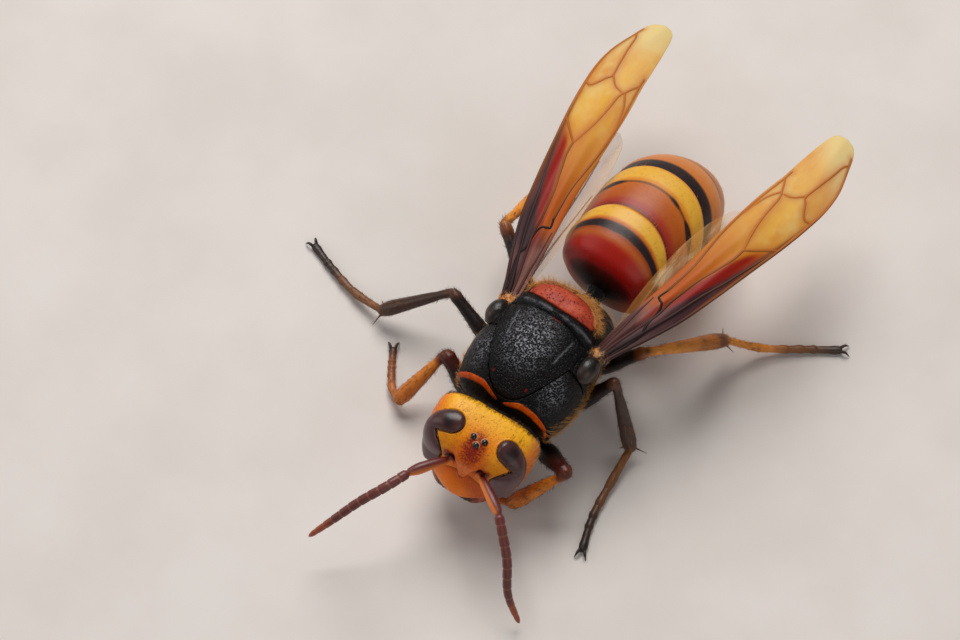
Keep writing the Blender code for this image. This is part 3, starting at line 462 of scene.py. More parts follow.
def close_up():
    """Merges the doubles of the active piece and turns its faces outwards."""
    bpy.ops.object.mode_set(mode="EDIT")
    bpy.ops.mesh.select_all(action="SELECT")
    bpy.ops.mesh.remove_doubles(threshold=1e-6)
    bpy.ops.mesh.dissolve_degenerate(threshold=1e-7)
    bpy.ops.mesh.select_all(action="SELECT")
    bpy.ops.mesh.normals_make_consistent(inside=False)
    bpy.ops.object.mode_set(mode="OBJECT")
    bpy.ops.object.shade_smooth()


def shell(name, rings, marks=None):
    """A closed skin through rings of points: a grid wrapped round, its seam merged."""
    rows, columns = rings.shape[:2]
    made = fresh(name, bpy.ops.mesh.primitive_grid_add,
                 x_subdivisions=columns, y_subdivisions=rows - 1, size=1)
    write_points(made, to_frame(np.concatenate([rings, rings[:, :1]], axis=1)))
    wrapped = {}
    for key, values in (marks or {}).items():
        values = np.broadcast_to(values, (rows, columns))
        wrapped[key] = np.concatenate([values, values[:, :1]], axis=1)
    write_marks(made, wrapped)
    close_up()
    return made


def ball(rows, columns):
    """Rings of a ball of radius 1, from its top to its bottom."""
    polar = np.linspace(0, math.pi, rows)[:, None]
    around = turn_angles(columns)
    return np.stack([np.sin(polar) * np.cos(around), np.sin(polar) * np.sin(around),
                     np.cos(polar) * np.ones_like(around)], -1)


def join(name, pieces):
    """One object from several."""
    deselect()
    for piece in pieces:
        piece.select_set(True)
    bpy.context.view_layer.objects.active = pieces[0]
    if len(pieces) > 1:
        bpy.ops.object.join()
    made = bpy.context.active_object
    made.name = made.data.name = name
    return made


def settle(made, material, slot, *nodes):
    """Gives a piece its material and its body, and hides the solids that it stands for. The slot is not used.
    """
    made.data.materials.clear()
    made.data.materials.append(material)
    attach(made, "root")
    if nodes:
        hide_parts(*nodes)
    return made


def limb_rings(path, radii, sides, flat=1.0):
    """Rings of a round limb along a path with a dome at each end, and each ring's share."""
    path = np.asarray(path, float)
    radii = np.asarray(radii, float)
    along = unit(np.gradient(path, axis=0))
    side = np.cross((0, 0, 1), along[0])
    if np.linalg.norm(side) < 1e-6:
        side = np.array((1.0, 0, 0))
    angles = turn_angles(sides, True)
    rings = []
    last = len(path) - 1
    for i in range(last + 1):
        side = unit(side - along[i] * side.dot(along[i]))
        up = np.cross(along[i], side)
        circle = np.outer(np.cos(angles), side) + flat * np.outer(np.sin(angles), up)
        dome = [
            path[i] + np.sign(i - 1) * along[i] * (radii[i] * DOME_RISE * math.sin(a))
            + radii[i] * math.cos(a) * circle
            for a in np.radians(DOME_STEPS) if i in (0, last)
        ]
        ring = path[i] + radii[i] * circle
        rings += [*dome, ring] if i == 0 else [ring, *dome[::-1]]
    domes = len(DOME_STEPS)
    shares = np.concatenate([np.zeros(domes), np.arange(last + 1) / last, np.ones(domes)])
    return np.array(rings), shares


def profile(keys, values, count):
    """Radii spread along a limb from a few values, eased between them."""
    table = np.column_stack([keys, values])
    return read_table(table, np.linspace(0, 1, count))[:, 0]


# Materials, built node by node.


class Finish:
    """A material under construction on the piece's own coordinates and marks."""

    def __init__(self, name, roughness, coat=0.0, coat_roughness=0.08, specular=0.5):
        self.material = bpy.data.materials.new(name)
        self.material.use_nodes = True
        self.tree = self.material.node_tree
        self.shader = self.tree.nodes["Principled BSDF"]
        self.set("Roughness", roughness)
        self.set("Specular IOR Level", specular)
        self.set("Coat Weight", coat)
        self.set("Coat Roughness", coat_roughness)
        self.base = None
        self.height = None

    def set(self, socket, value):
        if isinstance(value, bpy.types.NodeSocket):
            self.tree.links.new(value, self.shader.inputs[socket])
        else:
            self.shader.inputs[socket].default_value = value

    def node(self, kind, inputs=None, **settings):
        made = self.tree.nodes.new("ShaderNode" + kind)
        for key, value in settings.items():
            setattr(made, key, value)
        for key, value in (inputs or {}).items():
            if isinstance(value, bpy.types.NodeSocket):
                self.tree.links.new(value, made.inputs[key])
            elif isinstance(value, tuple) and len(value) == 3 and made.inputs[key].type == "RGBA":
                made.inputs[key].default_value = (*value, 1)
            else:
                made.inputs[key].default_value = value
        return made

    def mark(self, name):
        return self.node("Attribute", attribute_name=name).outputs["Fac"]

    def place(self):
        return self.node("TexCoord").outputs["Object"]

    def stretched(self, scale):
        return self.node("Mapping", {0: self.place(), "Scale": scale}).outputs[0]

    def noise(self, scale, detail=3.0, roughness=0.55, where=None):
        inputs = {"Vector": where or self.place(), "Scale": scale, "Detail": detail,
                  "Roughness": roughness}
        return self.node("TexNoise", inputs).outputs[0]

    def cells(self, scale):
        inputs = {"Vector": self.place(), "Scale": scale}
        return self.node("TexVoronoi", inputs).outputs["Distance"]

    def maths(self, operation, a, b=0.5):
        return self.node("Math", {0: a, 1: b}, operation=operation).outputs[0]

    def window(self, value, low, high, start=0.0, end=1.0):
        """Eases a value's range from low to high into start to end."""
        inputs = {0: value, 1: low, 2: high, 3: start, 4: end}
        return self.node("MapRange", inputs, interpolation_type="SMOOTHSTEP").outputs[0]

    def times(self, a, b):
        return self.maths("MULTIPLY", a, b)

    def mask(self, value, low=None, high=None, most=1.0):
        """A mask from a mark's name or a value, eased from low to high, at most as given."""
        if isinstance(value, str):
            value = self.mark(value)
        if low is not None:
            value = self.window(value, low, high)
        return value if most == 1.0 else self.times(value, most)

    def mix(self, factor, a, b):
        """A colour between a and b, each another node's colour or one of its own."""
        made = self.node("Mix", data_type="RGBA")
        self.tree.links.new(factor, made.inputs[0])
        for key, value in ((6, a), (7, b)):
            if isinstance(value, bpy.types.NodeSocket):
                self.tree.links.new(value, made.inputs[key])
            else:
                made.inputs[key].default_value = (*tuple(value)[:3], 1)
        return made.outputs[2]

    def start(self, a, b, value, low=None, high=None):
        """The base colour: a where the value is low and b where it is high."""
        self.base = self.mix(self.mask(value, low, high), a, b)

    def lay(self, colour, value, low=None, high=None, most=1.0):
        """Lays a colour over the base where a mask is 1."""
        self.base = self.mix(self.mask(value, low, high, most), self.base, colour)

    def ramp(self, value, stops):
        """A colour that eases through stops of place and colour."""
        made = self.node("ValToRGB", {0: value})
        ramp = made.color_ramp
        ramp.interpolation = "EASE"
        while len(ramp.elements) < len(stops):
            ramp.elements.new(0.5)
        for element, (place, colour) in zip(ramp.elements, stops):
            element.position = place
            element.color = (*tuple(colour)[:3], 1)
        return made.outputs[0]

    def bump(self, height, distance, strength=1.0):
        inputs = {"Height": height, "Distance": distance * MM, "Strength": strength}
        if self.height is not None:
            inputs["Normal"] = self.height
        self.height = self.node("Bump", inputs).outputs[0]
        self.set("Normal", self.height)

    def see_through(self, cover):
        """The finished material, which hides what is behind it by a share, at most all of it."""
        self.set("Alpha", self.maths("MINIMUM", cover, 1.0))
        return self.done()

    def done(self):
        """The finished material, with its base colour plugged in."""
        self.set("Base Color", self.base)
        return self.material


# The head and what sits on it.


def shield_half(z):
    """Half width of the face shield at a height on the head."""
    return 0.25 + 0.36 * np.maximum(0.0, z + 0.9)


def head_surface(aims, detail=True):
    """The head's surface along given directions, in the head's own frame."""
    d = unit(aims)
    depth = np.where(d[:, 1] < 0, HEAD_FRONT, HEAD_REAR)
    height = np.where(d[:, 2] > 0, HEAD_TOP, HEAD_BOTTOM)
    total = np.abs(d[:, 0] / HEAD_HALF_WIDTH) ** HEAD_POWER
    total = total + np.abs(d[:, 1] / depth) ** HEAD_POWER + np.abs(d[:, 2] / height) ** HEAD_POWER
    p = d * (total ** (-1 / HEAD_POWER))[:, None]
    below = np.maximum(0.0, -p[:, 2])
    p[:, 0] *= 1 - HEAD_TAPER * np.minimum(1.0, below / HEAD_BOTTOM) ** 2
    p[:, 1] -= FACE_SHEAR * below
    x, z = p[:, 0].copy(), p[:, 2].copy()
    p[:, 1] -= np.where(d[:, 1] > 0, NECK_HOLLOW * hill(x, z - 0.2, 4.2, 3.2), 0.0)
    if detail:
        front = np.where(d[:, 1] < 0, ease(-d[:, 1], 0.1, 0.5), 0.0)
        clypeus = CLYPEUS_RISE * hill(x, z - CLYPEUS_AT[1], 2.8, 2.3)
        shield = SHIELD_RISE * ease(shield_half(z) - np.abs(x), -0.2, 0.35)
        shield = shield * ease(z, -1.0, -0.6) * (1 - ease(z, 1.6, 3.0))
        socket = SOCKET_DEPTH * hill(np.abs(x) - SOCKET_AT[0], z - SOCKET_AT[1], 0.85, 0.95)
        p[:, 1] -= front * (clypeus + shield - socket)
    return p


def head_to_body(points):
    return np.asarray(points) @ HEAD_TURN.T + HEAD_PLACE


def face_aim(x, z):
    """The direction from the head's middle to the bare face at a frontal x and z."""
    x, z = np.asarray(x, float), np.asarray(z, float)
    share = np.abs(x / HEAD_HALF_WIDTH) ** HEAD_POWER
    share = share + np.abs(z / np.where(z > 0, HEAD_TOP, HEAD_BOTTOM)) ** HEAD_POWER
    depth = HEAD_FRONT * np.maximum(0.02, 1 - share) ** (1 / HEAD_POWER)
    return np.stack([x, -depth, z], -1)


def head_normals(points):
    """Outward directions of the bare head at points of it."""
    halves = np.column_stack([
        np.full(len(points), HEAD_HALF_WIDTH), np.where(points[:, 1] < 0, HEAD_FRONT, HEAD_REAR),
        np.where(points[:, 2] > 0, HEAD_TOP, HEAD_BOTTOM),
    ])
    return unit(np.sign(points) * np.abs(points / halves) ** (HEAD_POWER - 1) / halves)


def eye_stations(count):
    """Middle points, cross directions, normals and half widths along the left eye."""
    rows = smooth_path(EYE_LINE, count)
    centres, widths = rows[:, :3], rows[:, 3]
    caps = np.sin(np.linspace(0, 0.5, 16)[1:] * math.pi)
    shrink = np.sqrt(np.maximum(1e-4, 1 - caps**2))
    before, after = unit(centres[0] - centres[1]), unit(centres[-1] - centres[-2])
    first = centres[0] + np.outer(caps * widths[0], before)
    last = centres[-1] + np.outer(caps * widths[-1], after)
    centres = np.concatenate([first[::-1], centres, last])
    widths = np.concatenate([(shrink * widths[0])[::-1], widths, shrink * widths[-1]])
    normals = head_normals(centres)
    across = unit(np.cross(np.gradient(centres, axis=0), normals))
    return centres, across, normals, widths


def eye_nearness(points):
    """Distance of head points from the nearer eye's middle line over its half width."""
    rows = smooth_path(EYE_LINE, 60)
    spots = head_surface(rows[:, :3], detail=False)
    best = np.full(len(points), 9.0)
    for sign in SIDES.values():
        near = mirrored(points, sign)
        for spot, width in zip(spots, rows[:, 3]):
            best = np.minimum(best, np.linalg.norm(near - spot, axis=1) / width)
    return best


def head_relief(p):
    """How far each head point sinks under its plain surface, and the marks of its colours and of its painted
    light and shade.
    """
    near = eye_nearness(p)
    x, y, z = p.T
    aside = np.abs(x)
    front = ease(-y, -0.4, 0.4)
    below = front * (z < 0.0)
    turn = np.degrees(np.arctan2(z, -y))
    reach = np.hypot((x - CLYPEUS_AT[0]) / CLYPEUS_REACH[0], (z - CLYPEUS_AT[1]) / CLYPEUS_REACH[1])
    shield = ease(shield_half(z) - aside, -0.15, 0.2) * ease(z, -1.05, -0.7)
    eye_seat = 0.5 * (1 - ease(near, 0.84, 0.96))
    eye_seat = eye_seat + 0.09 * ridge(near, 1.03, 0.035) - 0.05 * ridge(near, 1.14, 0.06)
    seam = 0.1 * ridge(reach, 1.0, 0.035) * below
    face_line = 0.05 * ridge(x, 0, 0.1) * ease(z, -0.4, 0.6) * (1 - ease(z, 2.2, 2.8)) * front
    cheek = 0.16 * hill(aside - 2.4, z + 0.4, 0.5, 1.6) * front
    jaw_room = 0.3 * hill(aside - 1.6, z + 4.2, 1.5, 0.6) * front
    stain = hill(x, turn - 46, 1.6, 36)
    smudge = hill(aside - 1.95, z - 1.35, 0.7, 0.75) * front
    return eye_seat + seam + face_line + cheek + jaw_room, {
        "stain": np.maximum(stain, 0.8 * smudge),
        "halo": hill(x, turn - 18, 3.3, 68) * (1 - 0.3 * ease(aside, 1.7, 2.6)),
        "clypeus": (1 - ease(reach, 0.95, 1.01)) * front * (z < 0.2),
        # Painted shade over the clypeus, growing towards its rim.
        "clypeus_rim_shade": ease(reach + 0.12 * x, 0.35, 1.0),
        "seam": ridge(reach, 1.0, 0.03) * below,
        # socket: where painted shade fills the hollows round the antenna sockets.
        "socket": hill(aside - SOCKET_AT[0] - 0.15, z - SOCKET_AT[1] - 0.2, 1.1, 1.25) * front,
        # side: where painted shade deepens the orange on the head's sides and underside.
        "side": 0.85 * ease(aside, 3.2, 4.7) + ease(-z, 0.5, 3.5) * ease(aside, 2.2, 3.4),
        "rim": 1 - ease(np.abs(near - 1.01), 0.02, 0.06),
        # crown: where the painted highlight is laid on the upper head.
        "crown": ease(turn, 62, 100) * (1 - stain) * ease(z, -0.6, 2.2),
        "grain": np.maximum(shield, ease(z, 2.0, 3.2)) * (aside < 3.2),
    }


def head_material(colours):
    skin = Finish("head_shell", 0.42, coat=0.06, coat_roughness=0.3, specular=0.28)
    skin.start(colours.amber, paint(236, 136, 6), skin.noise(450.0, 4.0, 0.6), 0.3, 0.75)
    # Painted highlight: the crown is laid paler where the light falls on it.
    skin.lay(colours.crown_highlight, "crown")
    skin.lay(paint(222, 104, 8), "halo", 0.1, 0.8)
    # Painted shade: the clypeus darkens towards its rim, more on the hornet's left, where its bulge turns
    # away from the light.
    skin.lay(skin.mix(skin.mask("clypeus_rim_shade", most=0.75), colours.clypeus, paint(184, 62, 2)), "clypeus")
    speckle = skin.window(skin.noise(5600.0, 3.0, 0.65), 0.38, 0.6)
    stain = skin.times(skin.mark("stain"), skin.maths("ADD", speckle, 0.75))
    skin.lay(colours.stain, stain, 0.08, 1.15)
    pits = skin.cells(5200.0)
    pit_shade = skin.times(skin.window(pits, 0.24, 0.12), skin.mark("grain"))
    # Painted shade: the pits on the shield and the crown are laid dark red-brown.
    skin.lay(paint(110, 38, 8), pit_shade, most=0.6)
    # Painted shade: the socket hollows are laid red-brown, and near black at their middle.
    skin.lay(paint(150, 44, 6), "socket", 0.05, 0.5)
    skin.lay(paint(34, 8, 4), "socket", 0.35, 0.75)
    skin.lay(paint(110, 36, 6), "seam", most=0.75)
    skin.lay(paint(40, 20, 14), "rim", 0.3, 0.8)
    # Painted shade: the head's sides and its underside are laid deeper orange where they turn away from the
    # light.
    skin.lay(paint(224, 104, 4), "side", 0.1, 0.9, 0.8)
    skin.bump(skin.window(pits, 0.05, 0.4), 0.03, 0.6)
    skin.bump(skin.noise(2600.0, 3.0), 0.02, 0.5)
    return skin.done()


def make_head(colours):
    """The head capsule: face shield, clypeus, sockets and a rim round each eye."""
    made = fresh("head_skin", bpy.ops.mesh.primitive_cube_add, size=2)
    bpy.ops.object.mode_set(mode="EDIT")
    bpy.ops.mesh.select_all(action="SELECT")
    bpy.ops.mesh.subdivide(number_cuts=HEAD_CUTS)
    bpy.ops.object.mode_set(mode="OBJECT")
    p = head_surface(np.tan(read_points(made) * (math.pi / 4)))
    dent, marks = head_relief(p)
    outward = unit(p / np.array((1.4, 1.0, 1.1)))
    write_points(made, to_frame(head_to_body(p - outward * dent[:, None])))
    write_marks(made, marks)
    close_up()
    settle(made, head_material(colours), "head_shell", "head")


def eye_material(colours):
    glass = Finish("eye_glass", 0.34, coat=0.12, coat_roughness=0.2, specular=0.4)
    # Painted sheen: the eye is laid lighter towards its lower lobe, where it reflects the light.
    tone = glass.maths("ADD", glass.mark("lobe"), glass.times(glass.noise(320.0, 2.0), 0.5))
    glass.start(colours.eye, paint(98, 68, 70), tone, 0.35, 1.2)
    glass.lay(paint(22, 10, 12), "spot", 0.1, 0.9, 0.85)
    glass.lay(paint(14, 8, 8), "edge", 0.975, 0.998)
    glass.bump(glass.cells(26000.0), 0.004, 0.25)
    return glass.done()


def make_eyes(colours):
    """Two kidney-shaped eyes, each a smooth glossy dome with a dark rim and spot."""
    centres, across, normals, widths = eye_stations(60)
    dome = EYE_DOME * np.minimum(1.0, widths / 0.8)
    over = [(t, dome * (1 - t * t) ** 0.5 + 0.04, abs(t))
            for t in np.sin(np.linspace(-0.5, 0.5, 27) * math.pi)]
    under = [(t, -EYE_DEPTH * (1 - 0.5 * t * t) * np.ones(len(widths)), 1.0)
             for t in np.linspace(0.85, -0.85, 7)]
    columns, edge = [], []
    for t, lift, rim in over + under:
        base = head_surface(centres + across * (t * widths)[:, None], detail=False)
        columns.append(base + normals * lift[:, None])
        edge.append(np.full(len(centres), rim))
    rings = np.stack(columns, 1)
    edge = np.stack(edge, 1)
    # lobe runs down each eye. The eye's material lays a painted sheen along it, and the dark spot is placed
    # by it.
    lobe = np.broadcast_to(np.linspace(0, 1, len(centres))[:, None], edge.shape)
    spot = hill(lobe - 0.2, edge * 0.35 - 0.08, 0.1, 0.3)
    material = eye_material(colours)
    for side, sign in SIDES.items():
        placed = head_to_body(mirrored(rings, sign))
        made = shell(f"eye_glass_{side}", placed, {"edge": edge, "spot": spot, "lobe": lobe})
        settle(made, material, "eye", f"eye_{side}")


def make_ocelli():
    """Three small glossy eyes on the crown, each in a rim painted pale as a highlight."""
    domes, rims = [], []
    for spot in OCELLI_AT:
        local = ball(19, 32) * OCELLUS_RADIUS * np.array((1, 1, 0.92)) + np.array(spot)
        domes.append(shell("dome", head_to_body(local)))
        rim = fresh("rim", bpy.ops.mesh.primitive_torus_add, major_segments=40, minor_segments=12,
                    major_radius=OCELLUS_RADIUS, minor_radius=OCELLUS_RIM)
        out = Vector(spot).normalized()
        turn = np.array(Vector((0, 0, 1)).rotation_difference(out).to_matrix())
        seat = np.array(spot) + 0.02 * np.array(out)
        write_points(rim, to_frame(head_to_body(read_points(rim) @ turn.T + seat)))
        bpy.ops.object.shade_smooth()
        rims.append(rim)
    jet = Finish("ocellus_glass", 0.1, coat=0.4, coat_roughness=0.03)
    jet.start(paint(4, 3, 3), paint(14, 9, 8), jet.noise(900.0))
    settle(join("ocelli", domes), jet.done(), "eye")
    # Painted highlight: the rims are laid pale for the ring of light round each small eye.
    lip = Finish("ocellus_rim_highlight", 0.3, coat=0.2)
    lip.start(paint(176, 92, 50), paint(232, 176, 130), lip.noise(1500.0))
    settle(join("ocellus_rims", rims), lip.done(), "head_shell")


def make_jaws():
    """Two broad jaws folded under the clypeus with a flap between, dark at their toothed tips."""
    horn = Finish("jaw_horn", 0.3, coat=0.4, coat_roughness=0.15)
    mottle = horn.times(horn.window(horn.noise(1300.0), 0.4, 0.62), 0.34)
    horn.base = horn.ramp(horn.maths("ADD", horn.mark("along"), mottle), (
        (0.1, paint(204, 96, 18)), (0.5, paint(176, 80, 26)), (0.8, paint(122, 52, 26)),
        (1.0, paint(52, 26, 18))))
    horn.bump(horn.noise(1400.0), 0.03, 0.5)
    material = horn.done()
    count = 36
    share = np.linspace(0, 1, count)
    notches = sum(deep * ridge(share, where, wide) for where, wide, deep in JAW_TEETH_AT)
    radii = profile(np.linspace(0, 1, len(JAW_RADII)), JAW_RADII, count) * (1 - notches)
    for side, sign in SIDES.items():
        path = head_to_body(mirrored(smooth_path(JAW_LINE, count), sign))
        rings, shares = limb_rings(path, radii, 28, 0.62)
        made = shell(f"jaw_{side}", rings, {"along": shares[:, None]})
        settle(made, material, "jaw", f"mandible_{side}")
    local = ball(25, 40) * MOUTH_FLAP_HALF
    local[..., 2] += 0.12 * ridge(local[..., 0], 0, 0.35)
    flap = shell("mouth_flap", head_to_body(local + MOUTH_FLAP_AT), {"along": 0.45 - 0.3 * local[..., 2]})
    settle(flap, material, "jaw")


def feeler_material(colours):
    horn = Finish("feeler_horn", 0.42, coat=0.1)
    horn.base = horn.ramp(horn.maths("ADD", horn.mark("along"), horn.times(horn.noise(900.0), 0.16)), (
        (0.0, paint(112, 30, 22)), (0.3, paint(96, 32, 30)), (0.42, colours.feeler),
        (0.9, paint(96, 42, 32)), (1.0, paint(150, 66, 30))))
    near_root = horn.window(horn.mark("along"), 0.4, 0.3)
    horn.lay(paint(226, 116, 16), horn.times(horn.mark("below"), near_root))
    horn.lay(paint(176, 104, 78), "joint", most=0.4)
    horn.bump(horn.noise(4200.0), 0.02, 0.6)
    return horn.done()


def underside(rings, radius):
    """How far each point of a limb's rings lies towards the underside, over its radius."""
    return (rings - rings.mean(axis=1, keepdims=True)) @ FEELER_UNDER / radius


def make_scape(root, end):
    """The long first joint of an antenna, with a bead at its root."""
    path = smooth_path((root, (root + end) / 2 + np.array((0, 0, 0.16)), end), 44)
    radii = SCAPE_RADIUS * profile((0, 0.05, 0.1, 0.2, 0.5, 0.85, 1),
                                   (0.6, 0.95, 0.6, 0.78, 0.98, 1.06, 0.8), 44)
    rings, shares = limb_rings(path, radii, 28)
    return shell("scape", rings, {
        "along": shares[:, None] * 0.3, "below": ease(underside(rings, SCAPE_RADIUS), -0.35, 0.3),
        "joint": 0.0})


def make_flagellum(end, tips):
    """The ringed whip of an antenna, thinner towards its tip."""
    count = FLAGELLUM_SEGMENTS * 10 + 1
    path = smooth_path((end + unit(tips[0] - end) * 0.1, *tips), count)
    share = np.linspace(0, 1, count)
    own = share * FLAGELLUM_SEGMENTS
    inside = own - np.floor(own)
    waist = np.maximum(ridge(inside, 0, 0.07), ridge(inside, 1, 0.07))
    radii = FLAGELLUM_RADIUS * (1 - 0.5 * share**3) * (0.96 + 0.08 * inside) * (1 - 0.1 * waist)
    radii[:3] = FLAGELLUM_RADIUS * np.array((0.6, 0.66, 0.8))
    radii[-6:] *= np.array((0.97, 0.92, 0.84, 0.72, 0.56, 0.36))
    rings, shares = limb_rings(path, radii, 24)
    joint = np.interp(shares, share, waist * (own > 0.5) * (own < FLAGELLUM_SEGMENTS - 0.5))
    return shell("flagellum", rings, {
        "along": 0.4 + 0.6 * shares[:, None], "joint": joint[:, None],
        "below": 0.3 * ease(underside(rings, FLAGELLUM_RADIUS), 0.1, 0.8)})


def make_feelers(colours):
    """Antennae: a long scape, a bead and eleven ringed segments each."""
    material = feeler_material(colours)
    for side, sign in SIDES.items():
        root = head_to_body(face_aim(sign * SOCKET_AT[0], SOCKET_AT[1]) * 0.96)
        end = np.array(SCAPE_ENDS[side])
        parts = [make_scape(root, end), make_flagellum(end, np.array(FLAGELLA[side]))]
        made = join(f"feeler_{side}", parts)
        settle(made, material, "feeler", f"antenna_{side}_scape", f"antenna_{side}_flagellum")


# The thorax.


def thorax_at(y, angles, grow=0.0):
    """Points of the thorax at y and an angle round it, pushed out by grow."""
    y, angles, grow = np.broadcast_arrays(np.asarray(y, float), angles, grow)
    half, level, top, bottom = np.moveaxis(read_table(THORAX, y), -1, 0)
    c, s = oval(angles, THORAX_POWER)
    height = np.where(s > 0, top - level, level - bottom) + grow
    return np.stack([c * (half + grow), y, level + s * height], -1)


def thorax_top(x, y):
    """Height of the thorax's back over a plan point."""
    half, level, top, _ = np.moveaxis(read_table(THORAX, y), -1, 0)
    share = np.clip(np.abs(x) / half, 0, 0.999)
    return level + (top - level) * (1 - share**THORAX_POWER) ** (1 / THORAX_POWER)


def pronotum_line(angles):
    """The plan line between collar and back, read round the thorax."""
    y = np.full(angles.shape, -3.0)
    for _ in range(40):
        x = np.abs(thorax_at(y, angles)[..., 0])
        want = PRONOTUM_NOTCH_Y + PRONOTUM_SWEEP * (x / PRONOTUM_SPREAD) ** PRONOTUM_ROUND
        y = 0.7 * y + 0.3 * np.minimum(want, PRONOTUM_END_Y)
    return y


def plate_rings(front, rear, angles, rows, relief):
    """Rings of a shell plate with rolled edges, closed inside through its middle."""
    y = front + (rear - front) * np.linspace(0, 1, rows)[:, None]
    from_edge = np.clip(np.minimum(y - front, rear - y) / PLATE_EDGE, 0, 1)
    rolled = -PLATE_ROLL * (1 - np.sqrt(1 - (1 - from_edge) ** 2))
    points = thorax_at(y, angles, rolled + relief(y, angles))
    ends = []
    for line, inward in ((front, 0.15), (rear, -0.15)):
        line = np.broadcast_to(line, angles.shape) + inward
        lip = thorax_at(line, angles, -0.45)
        middle = np.array((0.0, float(np.mean(line)), THORAX_CORE_Z))
        ends.append((lip, np.broadcast_to(middle, lip.shape)))
    return np.array([ends[0][1], ends[0][0], *points, ends[1][0], ends[1][1]])


def shell_black(colours, name, grain, roughness=0.28, deep=0.04, specular=0.35):
    """Satin black shell, wrinkled all over, worn a little brown."""
    skin = Finish(name, roughness, specular=specular)
    skin.start(colours.black, paint(20, 15, 15), skin.noise(500.0, 4.0), 0.35, 0.8)
    skin.bump(skin.window(skin.cells(grain), 0.0, 0.6), deep, 1.0)
    skin.bump(skin.noise(grain * 1.2, 2.0, 0.6), deep, 1.0)
    return skin


def glint(skin):
    """Painted highlight: fine silvery glints laid into the colour between the pits of a black shell, as
    strong as its sheen mark.
    """
    patches = skin.window(skin.noise(1500.0, 3.0), 0.3, 0.6, 0.35, 1.0)
    net = skin.window(skin.cells(6900.0), 0.5, 0.72)
    skin.lay(paint(190, 190, 200), skin.times(net, skin.times(skin.mark("sheen"), patches)), most=0.72)


def scutellum_depth(x, y, grow=0.0):
    """How far a plan point is inside the scutellum's outline, as a share of its size."""
    half, front, rear = SCUTELLUM_HALF_WIDTH + grow, SCUTELLUM_FRONT_Y - grow, SCUTELLUM_REAR_Y + grow
    back = (x / half) ** 2 + (np.maximum(0, y - front - 0.5) / (rear - front - 0.5)) ** 2
    return np.minimum(1 - back, (y - front - 0.3 * (x / half) ** 2) * 1.5)


def crescent(points):
    """A mark for the collar's two raised crescents."""
    x, z = np.abs(points[..., 0]), points[..., 2]
    middle = -6.25 + 0.38 * ease(x, 0.2, 2.3) - 0.08 * ease(x, 3.0, 4.5)
    thick = 0.17 * np.clip(1 - ((x - 2.45) / 2.25) ** 4, 0, 1) ** 0.5 * (0.5 + 0.5 * ease(x, 0.3, 2.0))
    away = np.abs(points[..., 1] - middle)
    return (1 - ease(away, thick - 0.05, thick + 0.04)) * (thick > 0.04) * (z > 7.2)


def collar_relief(y, around):
    points = thorax_at(y, around)
    sunk = -0.22 * (1 - ease(y, -6.45, -5.85 + 0.03 * points[..., 0] ** 2)) * (points[..., 2] > 7)
    return 0.24 * crescent(points) + sunk


def make_collar(colours, angles, line):
    """The collar, with its two crescents and painted glints on its lobes."""
    rings = plate_rings(-6.7, line, angles, 90, collar_relief)
    skin = shell_black(colours, "collar_black", 5200.0, 0.3, 0.05, 0.16)
    glint(skin)
    glow = skin.mix(skin.window(skin.noise(900.0, 3.0), 0.3, 0.7), colours.crescent, paint(196, 70, 4))
    skin.lay(glow, "crescent", 0.1, 0.9)
    x, y, z = np.moveaxis(rings, -1, 0)
    # Painted glints on the collar's two lobes.
    sheen = 0.5 * hill(np.abs(x) - 3.7, y + 3.6, 1.5, 2.2) * (z > 9.0)
    made = shell("pronotum_plate", rings, {"crescent": crescent(rings), "sheen": sheen})
    settle(made, skin.done(), "black_shell", "pronotum")


def back_relief(y, around):
    """Seats, grooves and ribs of the back plate."""
    p = thorax_at(y, around)
    x, z = np.abs(p[..., 0]), p[..., 2]
    sunk = -0.4 * ease(scutellum_depth(p[..., 0], y, 0.06), -0.04, 0.1)
    groove = -0.2 * ridge(y, 1.5 - 0.03 * x**2, 0.08) * (x < 3.8)
    rib = 0.17 * ridge(y, 1.88 - 0.01 * x**2, 0.2) * (x < 3.8)
    furrow = -0.1 * ridge(x, 2.75 + 0.15 * y, 0.05) * ease(y, -2.2, -1.8) * ease(-y, -0.9, -0.5)
    furrow = furrow - 0.08 * ridge(x, 0.1, 0.05) * ease(y, -3.7, -3.2) * ease(-y, 1.3, 1.8)
    side = -0.12 * ridge(x, 3.95, 0.08) * ease(y, -2.4, -1.8) * ease(-y, -2.6, -2.0)
    flank = -0.14 * ridge(y, 2.2 - 0.35 * (9 - z), 0.1) * (z < 9.0)
    flank = flank - 0.12 * ridge(z, 7.4 + 0.25 * y, 0.1) * (x > 2.5) * (z < 10)
    wing_seat = -0.35 * hill(y - 1.9, z - 10.4, 1.6, 1.1) * (x > 3)
    behind = -0.16 * ridge(y, 4.93, 0.1)
    return ease(z, 9.5, 11.0) * (sunk + groove + rib + furrow + side) + flank + wing_seat + behind


